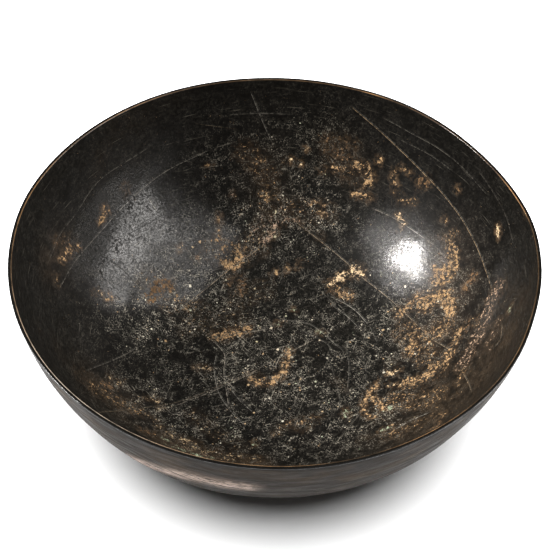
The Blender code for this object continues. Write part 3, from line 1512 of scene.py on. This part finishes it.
        skin = LayeredSkin(sketch, finish.dark)
        worked = sketch.times(
            sketch.rise(mid_grain, low=0.42, high=0.64),
            sketch.rise(cloud, low=0.3, high=0.62, start=0.35, end=1.0),
        )
        skin.lay(worked, finish.mid)
        skin.lay(
            sketch.times(brown, sketch.rise(patches, low=0.32, high=0.62, start=0.2, end=0.95)), finish.haze
        )
        self.lay_grain(skin, place, grainy, patches, mid_grain, fine_grain)
        self.lay_crust(skin, place, brown, patches)
        light, tan, crack = self.scratches(sketch, mid_grain)
        skin.lay(light, sketch.mix(tan, finish.scratch_grey, finish.scratch_tan), height=-0.8)
        skin.lay(crack, finish.dark, height=-1.6, dull=1.0)
        worn = self.lay_rim(skin, patches)
        pits = sketch.times(
            mottle,
            sketch.rise(mid_grain, low=0.47, high=0.41, start=0.0, end=0.95),
            sketch.rise(patches, low=0.4, high=0.6, start=0.3, end=1.0),
        )
        skin.lay(pits, finish.dark, height=-0.8, dull=1.0)
        skin.height = sketch.plus(skin.height, sketch.times(mid_grain, 0.9), sketch.times(fine_grain, 0.5))

        sketch.put(shader.inputs["Base Color"], skin.colour)
        rough = sketch.rise(
            patches, low=0.3, high=0.7, start=finish.roughness - 0.08, end=finish.roughness + 0.1
        )
        rough = sketch.math("MAXIMUM", rough, sketch.times(skin.dull, finish.crust_roughness))
        sketch.put(shader.inputs["Roughness"], rough)
        sketch.put(shader.inputs["Metallic"], sketch.times(worn, finish.worn_metal))
        kept_gloss = sketch.math("SUBTRACT", 1.0, skin.dull, clamp=True)
        uneven = sketch.times(
            sketch.rise(fine_grain, low=0.38, high=0.58, start=0.15, end=1.0),
            sketch.rise(cloud, low=0.3, high=0.65, start=0.6, end=1.0),
            sketch.plus(0.6, sketch.times(mottle, 0.4)),
        )
        sketch.put(shader.inputs["Coat Weight"], sketch.times(kept_gloss, uneven, finish.gloss))
        shader.inputs["Specular IOR Level"].default_value = finish.specular
        shader.inputs["Coat Roughness"].default_value = finish.gloss_roughness
        shader.inputs["Coat IOR"].default_value = finish.gloss_ior
        sketch.put(shader.inputs["Normal"], skin.bump(finish.relief))
        mottled_relief = sketch.rise(mottle, low=0.0, high=1.0, start=0.22, end=0.36)
        scoured = sketch.rise(
            sketch.noise(place, 0.16 * MM, detail=1.0), low=0.54, high=0.74, start=0.0, end=0.5
        )
        polish = skin.bump(
            finish.gloss_relief,
            mottled_relief,
            sketch.times(scoured, sketch.rise(mottle, low=0.1, high=0.8)),
        )
        sketch.put(shader.inputs["Coat Normal"], polish)
        return material

    def lay_grain(
        self,
        skin: LayeredSkin,
        place: bpy.types.NodeSocket,
        grainy: bpy.types.NodeSocket,
        patches: bpy.types.NodeSocket,
        mid_grain: bpy.types.NodeSocket,
        fine_grain: bpy.types.NodeSocket,
    ) -> None:
        """Lays the scoured grain: dust, hairs, flecks and scattered specks.

        Args:
            skin: the layers so far.
            place: the Object coordinates.
            grainy: how grainy the patina is.
            patches: a noise of a few millimetres.
            mid_grain: a noise of about a millimetre.
            fine_grain: a noise of about half a millimetre.
        """
        sketch = skin.sketch
        finish = self.inside
        density = sketch.plus(0.03, sketch.times(grainy, 0.90))
        patchy = sketch.times(density, sketch.rise(patches, low=0.40, high=0.62, start=0.08, end=1.25))
        skin.lay(sketch.times(sketch.rise(mid_grain, low=0.56, high=0.66), patchy, 0.38), finish.dust)
        skin.lay(
            sketch.times(sketch.rise(fine_grain, low=0.62, high=0.66), patchy),
            finish.flecks,
            height=0.5,
            dull=0.6,
        )
        hairs = sketch.times(self.hairs(sketch, place), patchy)
        skin.lay(sketch.times(hairs, 0.7), finish.flecks, height=-0.3)
        drawn_out = self.round_coordinates(sketch, 2.5 * MM)
        round_hairs = sketch.noise(drawn_out, self.ROUND_HAIR_WIDTH, detail=1.0)
        skin.lay(sketch.rise(round_hairs, low=0.70, high=0.80, start=0.0, end=0.25), finish.dust)
        stirred = self.stirred(sketch, place)
        for size, share, radius, most in self.SPECKS:
            there = sketch.times(patchy if most < 1.0 else density, share)
            mask, tone = self.specks(sketch, stirred, size, there, radius)
            skin.lay(sketch.times(mask, most), sketch.ramp(tone, finish.speck_tones), height=0.8, dull=1.0)

    def stirred(self, sketch: NodeSketch, place: bpy.types.NodeSocket) -> bpy.types.NodeSocket:
        """Returns coordinates that are stirred a little, so that what is drawn in them is ragged.

        Args:
            sketch: the material's nodes.
            place: the Object coordinates.

        Returns:
            The stirred coordinates.
        """
        push = sketch.node("ShaderNodeTexNoise")
        sketch.put(push.inputs["Vector"], place)
        push.inputs["Scale"].default_value = 1.0 / self.STIR_SIZE
        push.inputs["Detail"].default_value = 1.0
        added = sketch.node("ShaderNodeVectorMath", operation="MULTIPLY_ADD")
        sketch.put(added.inputs[0], push.outputs["Color"])
        added.inputs[1].default_value = (self.STIR, self.STIR, self.STIR)
        sketch.put(added.inputs[2], place)
        return added.outputs[0]

    def lay_crust(
        self,
        skin: LayeredSkin,
        place: bpy.types.NodeSocket,
        brown: bpy.types.NodeSocket,
        patches: bpy.types.NodeSocket,
    ) -> None:
        """Lays the crust, dense in the middle of each mark and broken into dots at its edges.

        Args:
            skin: the layers so far.
            place: the Object coordinates.
            brown: how brown the patina is there.
            patches: a noise of a few millimetres.
        """
        sketch = skin.sketch
        finish = self.inside
        depth, cover, tone = sketch.parts(sketch.kept("crust").outputs["Vector"])
        frayed = sketch.noise(place, 1.7 * MM, detail=3.0, rough=0.7)
        lace = sketch.noise(place, 1.25 * MM, detail=3.0, rough=0.8, distortion=0.4)
        shade = sketch.noise(place, 0.9 * MM, detail=2.0, rough=0.75)
        ragged = sketch.plus(sketch.plus(patches, frayed), -1.0)
        reach = sketch.plus(
            depth, sketch.times(ragged, sketch.rise(cover, low=0.85, high=1.0, start=5.5, end=1.5))
        )
        thinned = sketch.rise(frayed, low=0.40, high=0.56, start=0.72, end=1.0)
        marked = sketch.times(sketch.rise(reach, low=-1.5, high=1.1), cover, thinned)
        stray = sketch.times(
            sketch.plus(0.16, sketch.times(brown, 0.5)), sketch.rise(patches, low=0.48, high=0.66)
        )
        amount = sketch.math("MAXIMUM", marked, stray)
        above = sketch.math("SUBTRACT", lace, sketch.rise(amount, low=0.0, high=1.0, start=0.70, end=0.405))
        rich = sketch.ramp(tone, finish.crust_tones)
        low = sketch.mix(0.25, finish.haze, rich)
        lit = sketch.times(
            sketch.rise(above, low=0.0, high=0.14, start=0.4, end=1.0),
            sketch.rise(shade, low=0.42, high=0.58, start=0.08, end=1.15),
        )
        stain = sketch.times(
            sketch.rise(reach, low=-2.4, high=0.4),
            sketch.rise(frayed, low=0.42, high=0.58, start=0.1, end=0.8),
        )
        skin.lay(sketch.times(stain, cover, cover), finish.stain)
        skin.lay(sketch.rise(above, low=0.0, high=0.05), sketch.mix(lit, low, rich), height=1.3, dull=1.0)

    def lay_rim(self, skin: LayeredSkin, patches: bpy.types.NodeSocket) -> bpy.types.NodeSocket:
        """Lays the rim: dark over its top, with a bright line along its inner corner, worn bronze with a
        painted highlight.

        Args:
            skin: the layers so far.
            patches: a noise of a few millimetres.

        Returns:
            The mask of the bright line.
        """
        sketch = skin.sketch
        past = sketch.kept("past_arris").outputs["Fac"]
        wear = sketch.kept("rim_wear").outputs["Fac"]
        skin.lay(sketch.rise(past, low=0.45, high=0.85), self.inside.dark)
        # The bright line is worn bronze with a painted highlight, strongest and palest at the headings
        # where the corner catches the light
        start = sketch.rise(past, low=-0.10, high=0.02)
        end = sketch.rise(past, low=sketch.times(patches, 0.3), high=0.42, start=1.0, end=0.0)
        worn = sketch.times(start, end, wear, sketch.rise(patches, low=0.3, high=0.55, start=0.45, end=1.0))
        cream = sketch.kept("rim_cream").outputs["Fac"]
        skin.lay(worn, sketch.mix(cream, self.inside.worn, self.inside.worn_pale), dull=0.6)
        return worn

    def outside_material(self) -> bpy.types.Material:
        """Makes the material of the outside.

        Returns:
            The material.
        """
        finish = self.outside
        material, sketch, shader = self.shader("bronze_outside")
        place = sketch.place()
        drawn_out = self.round_coordinates(sketch, 16.0 * MM)
        streaks = sketch.noise(drawn_out, 1.9 * MM, detail=3.0, rough=0.65)
        broad_streaks = sketch.noise(drawn_out, 6.0 * MM, detail=2.0)
        fine_streaks = sketch.noise(drawn_out, 0.7 * MM, detail=2.0, rough=0.6)
        blotches = sketch.noise(place, 16.0 * MM, detail=3.0)
        grain = sketch.noise(place, 0.8 * MM, detail=2.0, rough=0.6)

        skin = LayeredSkin(sketch, finish.dark)
        skin.lay(sketch.rise(streaks, low=0.34, high=0.66), finish.grey, height=0.6)
        # Painted reflection: pale streaks, and less gold tint, where the outside mirrors the lit floor
        floor_reflection = sketch.kept("floor_reflection").outputs["Fac"]
        gold_there = sketch.times(
            sketch.rise(broad_streaks, low=0.36, high=0.64), sketch.rise(blotches, low=0.36, high=0.62)
        )
        skin.lay(
            sketch.times(gold_there, sketch.rise(floor_reflection, low=0.0, high=1.0, start=0.8, end=0.2)),
            finish.gold,
        )
        thin_pale = sketch.times(sketch.rise(fine_streaks, low=0.50, high=0.72), 0.045)
        reflection_streaks = sketch.times(
            floor_reflection, sketch.rise(fine_streaks, low=0.44, high=0.54, start=0.12, end=1.0)
        )
        skin.lay(
            sketch.rise(fine_streaks, low=0.46, high=0.64, start=0.0, end=0.6), finish.dark, height=-0.4
        )
        skin.lay(sketch.math("MAXIMUM", thin_pale, reflection_streaks), finish.pale, height=0.5)
        along = sketch.kept("along").outputs["Fac"]
        skin.lay(sketch.rise(along, low=self.BAND_STARTS, high=self.BAND_FULL), finish.dark)
        skin.height = sketch.plus(skin.height, sketch.times(grain, 0.4))

        sketch.put(shader.inputs["Base Color"], skin.colour)
        rough = sketch.rise(
            streaks, low=0.3, high=0.7, start=finish.roughness - 0.1, end=finish.roughness + 0.16
        )
        sketch.put(shader.inputs["Roughness"], rough)
        shader.inputs["Specular IOR Level"].default_value = finish.specular
        sketch.put(shader.inputs["Normal"], skin.bump(finish.relief))
        return material


@dataclass
class HammeredBowl:
    """The bowl: one closed mesh of thin bronze.

    Attributes:
        curve: the section of the wall.
        hammering: how the hammer left it.
        patina: its materials.
        segments: how many steps each ring has.
        widest: the largest radius that the visual bowl may reach, in metres.
        rim_wear_and_highlight_places: headings in degrees, how far each spreads, and how bright the rim's
            line is there, worn bronze with painted highlight.
        rim_cream_and_highlight_place: the heading where the rim's line is palest and its painted highlight
            strongest, and how far that spreads.
    """

    curve: WallCurve
    hammering: Hammering
    patina: BronzePatina
    widest: float
    segments: int = 360
    rim_wear_and_highlight_places: tuple[tuple[float, float, float], ...] = (
        (-140.0, 24.0, 1.0),
        (-112.0, 14.0, 0.8),
        (-92.0, 12.0, 0.6),
        (-55.0, 9.0, 0.6),
        (165.0, 20.0, 0.35),
        (128.0, 12.0, 0.25),
        (22.0, 7.0, 0.5),
        (68.0, 3.0, 0.5),
        (-25.0, 16.0, 0.25),
    )
    rim_cream_and_highlight_place: tuple[float, float] = (-136.0, 26.0)
    rings: list[Ring] = field(default_factory=list)

    # Takes the rim's dips from another part of the noise than the hammer marks
    DIP_SHIFT: ClassVar[Vector] = Vector((0.0, 0.0, 3.3))
    LEAST_RIM_WEAR: ClassVar[float] = 0.10

    def build(self, camera: PhotoCamera) -> bpy.types.Object:
        """Makes the bowl.

        Args:
            camera: the photograph's camera, which places the marks on the inside.

        Returns:
            The finished bowl.
        """
        self.rings = self.curve.rings()
        bowl = self.draw_skin()
        mesh = bowl.data
        flat = np.empty(len(mesh.vertices) * 3)
        mesh.vertices.foreach_get("co", flat)
        places = flat.reshape(-1, 3)
        nearest = self.nearest_rings(places)
        inside = self.inside_vertices(places, nearest)
        self.keep_numbers(mesh, places, nearest)
        self.colour_zones(mesh)
        painter = MarkPainter(camera, bowl, places, inside)
        painter.paint_crust(CRUSTS_AND_PAINTED_REFLECTIONS)
        painter.paint_hazes()
        painter.paint_scratches(SCRATCHES)
        painter.paint_floor_reflection(FLOOR_REFLECTION_BAND)
        self.hammer(mesh, places, nearest, inside)
        mesh.materials.append(self.patina.inside_material())
        mesh.materials.append(self.patina.outside_material())
        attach(bowl, BODY)
        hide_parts(NODE)
        return bowl

    def draw_skin(self) -> bpy.types.Object:
        """Draws the mesh ring by ring, closes its two ends and turns its faces outwards.

        Returns:
            The mesh object.
        """
        bpy.ops.object.select_all(action="DESELECT")
        first = self.rings[0]
        bpy.ops.mesh.primitive_circle_add(vertices=self.segments, radius=first.radius, fill_type="NOTHING")
        bowl = bpy.context.object
        bowl.name = "hammered_bowl"
        bowl.data.name = "hammered_bowl"
        bpy.ops.object.mode_set(mode="EDIT")
        bpy.ops.mesh.select_mode(type="VERT")
        bpy.ops.mesh.select_all(action="SELECT")
        bpy.ops.transform.translate(value=(0.0, 0.0, first.height))
        for before, after in zip(self.rings, self.rings[1:]):
            lift = (0.0, 0.0, after.height - before.height)
            bpy.ops.mesh.extrude_region_move(TRANSFORM_OT_translate={"value": lift})
            spread = after.radius / before.radius
            bpy.ops.transform.resize(value=(spread, spread, 1.0), center_override=(0.0, 0.0, 0.0))
        bpy.ops.mesh.fill_grid(span=self.segments // 4)
        self.select_first_ring(bowl)
        bpy.ops.mesh.fill_grid(span=self.segments // 4)
        bpy.ops.mesh.select_all(action="SELECT")
        bpy.ops.mesh.normals_make_consistent(inside=False)
        bpy.ops.object.mode_set(mode="OBJECT")
        bpy.ops.object.shade_smooth()
        return bowl

    def select_first_ring(self, bowl: bpy.types.Object) -> None:
        """Selects the ring that the drawing started from, and nothing else.

        Args:
            bowl: the bowl, in edit mode.
        """
        bpy.ops.mesh.select_all(action="DESELECT")
        bpy.ops.object.mode_set(mode="OBJECT")
        first = self.rings[0]
        for vertex in bowl.data.vertices:
            off_ring = abs(math.hypot(vertex.co.x, vertex.co.y) - first.radius)
            vertex.select = max(off_ring, abs(vertex.co.z - first.height)) < SAME_PLACE
        bpy.ops.object.mode_set(mode="EDIT")

    def nearest_rings(self, places: np.ndarray) -> np.ndarray:
        """Returns the number of the ring nearest to each vertex, or -1 on the floor and the flat.

        Args:
            places: the vertices as drawn.

        Returns:
            One number for each vertex.
        """
        radius = np.hypot(places[:, 0], places[:, 1])
        nearest = np.full(len(places), -1)
        least = np.full(len(places), np.inf)
        for number, ring in enumerate(self.rings):
            gap = np.hypot(radius - ring.radius, places[:, 2] - ring.height)
            closer = gap < least
            least[closer] = gap[closer]
            nearest[closer] = number
        nearest[radius < self.curve.standing_radius - SAME_PLACE] = -1
        return nearest

    def inside_vertices(self, places: np.ndarray, nearest: np.ndarray) -> np.ndarray:
        """Returns True for each vertex of the inside, the floor included.

        Args:
            places: the vertices as drawn.
            nearest: the number of each one's ring.

        Returns:
            One answer for each vertex.
        """
        first_out = next(i for i, ring in enumerate(self.rings) if ring.past_arris > 0.0)
        floor = (nearest < 0) & (places[:, 2] > self.curve.wall / 2.0)
        return floor | ((nearest >= 0) & (nearest <= first_out))

    def keep_numbers(self, mesh: bpy.types.Mesh, places: np.ndarray, nearest: np.ndarray) -> None:
        """Keeps on the mesh what the materials read: the way along the wall, and the rim's wear and painted
        highlight.

        Args:
            mesh: the bowl's mesh.
            places: its vertices.
            nearest: the number of each one's ring.
        """
        radius = np.hypot(places[:, 0], places[:, 1])
        heading = np.degrees(np.arctan2(places[:, 1], places[:, 0]))
        along_rings = np.array([ring.along for ring in self.rings])
        past_rings = np.array([ring.past_arris for ring in self.rings]) / MM
        along = np.where(nearest < 0, radius, along_rings[nearest])
        past = np.where(nearest < 0, past_rings[0], past_rings[nearest])
        wear = np.full(len(places), self.LEAST_RIM_WEAR)
        for middle, reach, strength in self.rim_wear_and_highlight_places:
            wear = np.maximum(wear, strength * self.near_heading(heading, middle, reach))
        cream = self.near_heading(heading, *self.rim_cream_and_highlight_place)
        numbers = {"along": along, "past_arris": past, "rim_wear": wear, "rim_cream": cream}
        for name, values in numbers.items():
            keep_number(mesh, name, values)

    def near_heading(self, heading: np.ndarray, middle: float, reach: float) -> np.ndarray:
        """Returns 1 at a heading, falling to 0 on either side of it, for headings in degrees."""
        turn = (heading - middle + 180.0) % 360.0 - 180.0
        return np.exp(-((turn / reach) ** 2))

    def colour_zones(self, mesh: bpy.types.Mesh) -> None:
        """Gives each face the material slot of its zone.

        Args:
            mesh: the bowl's mesh.
        """
        outer = next(i for i, ring in enumerate(self.rings) if ring.zone is Zone.OUTSIDE)
        edge = self.rings[outer - 1]
        low = self.curve.wall / 2.0
        centres = np.empty(len(mesh.polygons) * 3)
        normals = np.empty(len(mesh.polygons) * 3)
        mesh.polygons.foreach_get("center", centres)
        mesh.polygons.foreach_get("normal", normals)
        centres = centres.reshape(-1, 3)
        normals = normals.reshape(-1, 3)
        outwards = (normals[:, :2] * centres[:, :2]).sum(1) > 0.0
        flat_below = (centres[:, 2] < low) & (normals[:, 2] < 0.0)
        outside = (outwards & (normals[:, 2] < 0.05) & (centres[:, 2] < edge.height)) | flat_below
        slots = np.where(outside, Zone.OUTSIDE.value, Zone.INSIDE.value).astype(np.int32)
        mesh.polygons.foreach_set("material_index", slots)

    def hammer(
        self, mesh: bpy.types.Mesh, places: np.ndarray, nearest: np.ndarray, inside: np.ndarray
    ) -> None:
        """Moves the vertices as the hammer left them, the standing flat excepted.

        Args:
            mesh: the bowl's mesh.
            places: its vertices as drawn.
            nearest: the number of each one's ring.
            inside: True for each vertex of the inside.
        """
        blows = self.hammering
        top = self.rings[-1]
        rim_along = max(ring.along for ring in self.rings)
        moved = places.copy()
        for number, (x, y, z) in enumerate(places):
            radius = math.hypot(x, y)
            if nearest[number] < 0:
                if inside[number]:
                    moved[number, 2] = z - blows.push(Vector((x, y, 0.0)))
                continue
            ring = self.rings[nearest[number]]
            cosine = x / radius
            sine = y / radius
            root = Vector((ring.root.x * cosine, ring.root.x * sine, ring.root.y))
            push = blows.push(root)
            if not inside[number]:
                push *= min(1.0, (ring.along - top.along) / blows.flat_reach)
            rim_share = min(1.0, max(0.0, ring.root.y / self.curve.height)) ** blows.bend_gather
            out = blows.rim_out(math.degrees(math.atan2(y, x))) * rim_share
            calm = 1.0 - blows.rim_calm * max(0.0, (ring.along - rim_along) / blows.rim_calm_reach + 1.0)
            round_rim = Vector((cosine, sine, 0.0)) * blows.rim_wave_turns + self.DIP_SHIFT
            dip = blows.rim_waves * (0.5 + 0.5 * noise.noise(round_rim)) * rim_share
            away = min(radius + push * calm * ring.outward.x + out, self.widest)
            moved[number] = (away * cosine, away * sine, max(0.0, z + push * calm * ring.outward.y - dip))
        mesh.vertices.foreach_set("co", moved.ravel())
        mesh.update()


def towards(heading: float, height: float) -> Vector:
    """Returns the direction at a heading from +X and a height above level, both in degrees.

    Args:
        heading: from +X towards +Y.
        height: above level.

    Returns:
        A direction of length one.
    """
    level = math.cos(math.radians(height))
    heading = math.radians(heading)
    return Vector((level * math.cos(heading), level * math.sin(heading), math.sin(math.radians(height))))


@dataclass(frozen=True)
class SoftLight:
    """A light of the studio, aimed at the bowl.

    Attributes:
        name: what it is.
        heading: its direction from the bowl, in degrees from +X towards +Y.
        height: how far above level it stands, in degrees.
        distance: how far away, in metres.
        size: its width and height, in metres.
        radiance: how bright its face is.
        mirrored: whether glossy surfaces show it.
        turn: how far it is turned about its own axis, in degrees.
        round: whether it is a disc.
        colour: its colour.
    """

    name: str
    heading: float
    height: float
    distance: float
    size: tuple[float, float]
    radiance: float
    mirrored: bool = True
    turn: float = 0.0
    round: bool = False
    colour: Colour = (1.0, 0.965, 0.93)

    def build(self, target: Vector) -> bpy.types.Object:
        """Makes the light.

        Args:
            target: the point that it faces.

        Returns:
            The light object.
        """
        away = towards(self.heading, self.height)
        data = bpy.data.lights.new(self.name, "AREA")
        data.shape = "ELLIPSE" if self.round else "RECTANGLE"
        data.size, data.size_y = self.size
        area = self.size[0] * self.size[1] * (math.pi / 4.0 if self.round else 1.0)
        data.energy = self.radiance * math.pi * area
        data.color = self.colour
        light = bpy.data.objects.new(self.name, data)
        facing = away.to_track_quat("Z", "Y").to_matrix().to_4x4()
        spin = Matrix.Rotation(math.radians(self.turn), 4, "Z")
        light.matrix_world = Matrix.Translation(target + away * self.distance) @ facing @ spin
        light.visible_glossy = self.mirrored
        bpy.context.scene.collection.objects.link(light)
        return light


@dataclass
class Studio:
    """A plain pale floor under soft studio light.

    Attributes:
        floor_side: side of the floor, in metres.
        floor_colour: its colour.
        sky_lit: how bright the surroundings are for the light that they give.
        sky_seen: how bright they look to the camera.
        key_heading: where the overhead light comes from, in degrees from +X towards +Y.
        key_height: how high it stands, in degrees.
        key_spread: how wide it looks, in degrees.
        key_strength: how much light it gives.
        floor_strength: how much more light the floor alone gets from there.
        lights: the lights that the bowl mirrors.
        aim_height: the height on the bowl's axis that those lights face, in metres.
    """

    floor_side: float = 12.0
    floor_colour: Colour = (0.93, 0.93, 0.93)
    sky_lit: float = 0.05
    sky_seen: float = 1.0
    key_heading: float = 112.0
    key_height: float = 83.5
    key_spread: float = 79.0
    key_strength: float = 2.6
    floor_strength: float = 10.0
    lights: tuple[SoftLight, ...] = (
        SoftLight("small_lamp", -175.5, 33.0, 1.2, (0.36, 0.36), 107.0, round=True),
        SoftLight("lower_softbox", -3.0, 23.0, 1.2, (0.95, 0.62), 10.4, turn=-5.0),
        SoftLight("upper_softbox", -9.0, 54.5, 1.2, (1.05, 0.70), 3.6, turn=12.0),
    )
    aim_height: float = 0.03

    def build(self) -> None:
        """Makes the floor, the lights and the surroundings."""
        floor = self.build_floor()
        self.build_overhead("overhead", self.key_strength)
        on_floor = self.build_overhead("overhead_on_floor", self.floor_strength)
        self.light_floor(on_floor, floor, "INCLUDE")
        for light in self.lights:
            self.light_floor(light.build(Vector((0.0, 0.0, self.aim_height))), floor, "EXCLUDE")
        self.build_surroundings()
        bpy.context.scene.view_settings.view_transform = "Standard"

    def build_floor(self) -> bpy.types.Object:
        """Makes the floor that the bowl stands on.

        Returns:
            The floor.
        """
        bpy.ops.object.select_all(action="DESELECT")
        bpy.ops.mesh.primitive_plane_add(size=self.floor_side)
        floor = bpy.context.object
        floor.name = "floor"
        material = bpy.data.materials.new("pale_floor")
        material.use_nodes = True
        shader = material.node_tree.nodes["Principled BSDF"]
        shader.inputs["Base Color"].default_value = (*self.floor_colour, 1.0)
        shader.inputs["Roughness"].default_value = 1.0
        shader.inputs["Specular IOR Level"].default_value = 0.0
        floor.data.materials.append(material)
        return floor

    def light_floor(self, light: bpy.types.Object, floor: bpy.types.Object, state: str) -> None:
        """Makes a light reach the floor alone, or all but the floor.

        Args:
            light: the light.
            floor: the floor.
            state: INCLUDE for the floor alone, EXCLUDE for all but the floor.
        """
        linked = bpy.data.collections.new(f"{light.name}_and_floor")
        linked.objects.link(floor)
        light.light_linking.receiver_collection = linked
        linked.collection_objects[0].light_linking.link_state = state

    def build_overhead(self, name: str, strength: float) -> bpy.types.Object:
        """Makes a very broad light from overhead, which casts the soft shadow and is not mirrored.

        Args:
            name: the light's name.
            strength: how much light it gives.

        Returns:
            The light object.
        """
        away = towards(self.key_heading, self.key_height)
        data = bpy.data.lights.new(name, "SUN")
        data.energy = strength
        data.angle = math.radians(self.key_spread)
        light = bpy.data.objects.new(name, data)
        light.matrix_world = away.to_track_quat("Z", "Y").to_matrix().to_4x4()
        light.visible_glossy = False
        bpy.context.scene.collection.objects.link(light)
        return light

    def build_surroundings(self) -> None:
        """Makes surroundings that look pale and give little light."""
        world = bpy.data.worlds.new("studio")
        bpy.context.scene.world = world
        world.cycles_visibility.glossy = False
        world.use_nodes = True
        sketch = NodeSketch(world.node_tree)
        seen = sketch.node("ShaderNodeLightPath").outputs["Is Camera Ray"]
        background = sketch.node("ShaderNodeBackground")
        background.inputs["Color"].default_value = (1.0, 1.0, 1.0, 1.0)
        strength = sketch.plus(self.sky_lit, sketch.times(seen, self.sky_seen - self.sky_lit))
        sketch.put(background.inputs["Strength"], strength)
        output = sketch.node("ShaderNodeOutputWorld")
        sketch.put(output.inputs["Surface"], background.outputs[0])


def main() -> None:
    """Builds the camera, the studio and the bowl."""
    logging.basicConfig(level=logging.INFO, format="%(message)s")
    low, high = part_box(NODE)
    widest = min(high.x, -low.x, high.y, -low.y)
    curve = WallCurve(rim_radius=widest - RIM_ROOM, height=high.z)
    camera = PhotoCamera(rim_radius=curve.rim_radius, rim_height=curve.height)
    camera.build()
    log.info("camera: %.3f m from the rim's centre", camera.radii_away * camera.rim_radius)
    studio = Studio()
    studio.build()
    log.info("studio: floor, overhead light, %d mirrored lights", len(studio.lights))
    patina = BronzePatina(InsideFinish(), OutsideFinish())
    bowl = HammeredBowl(curve=curve, hammering=Hammering(), patina=patina, widest=widest)
    piece = bowl.build(camera)
    log.info("%s: %d rings, %d vertices", piece.name, len(bowl.rings), len(piece.data.vertices))


if __name__ == "__main__":
    main()
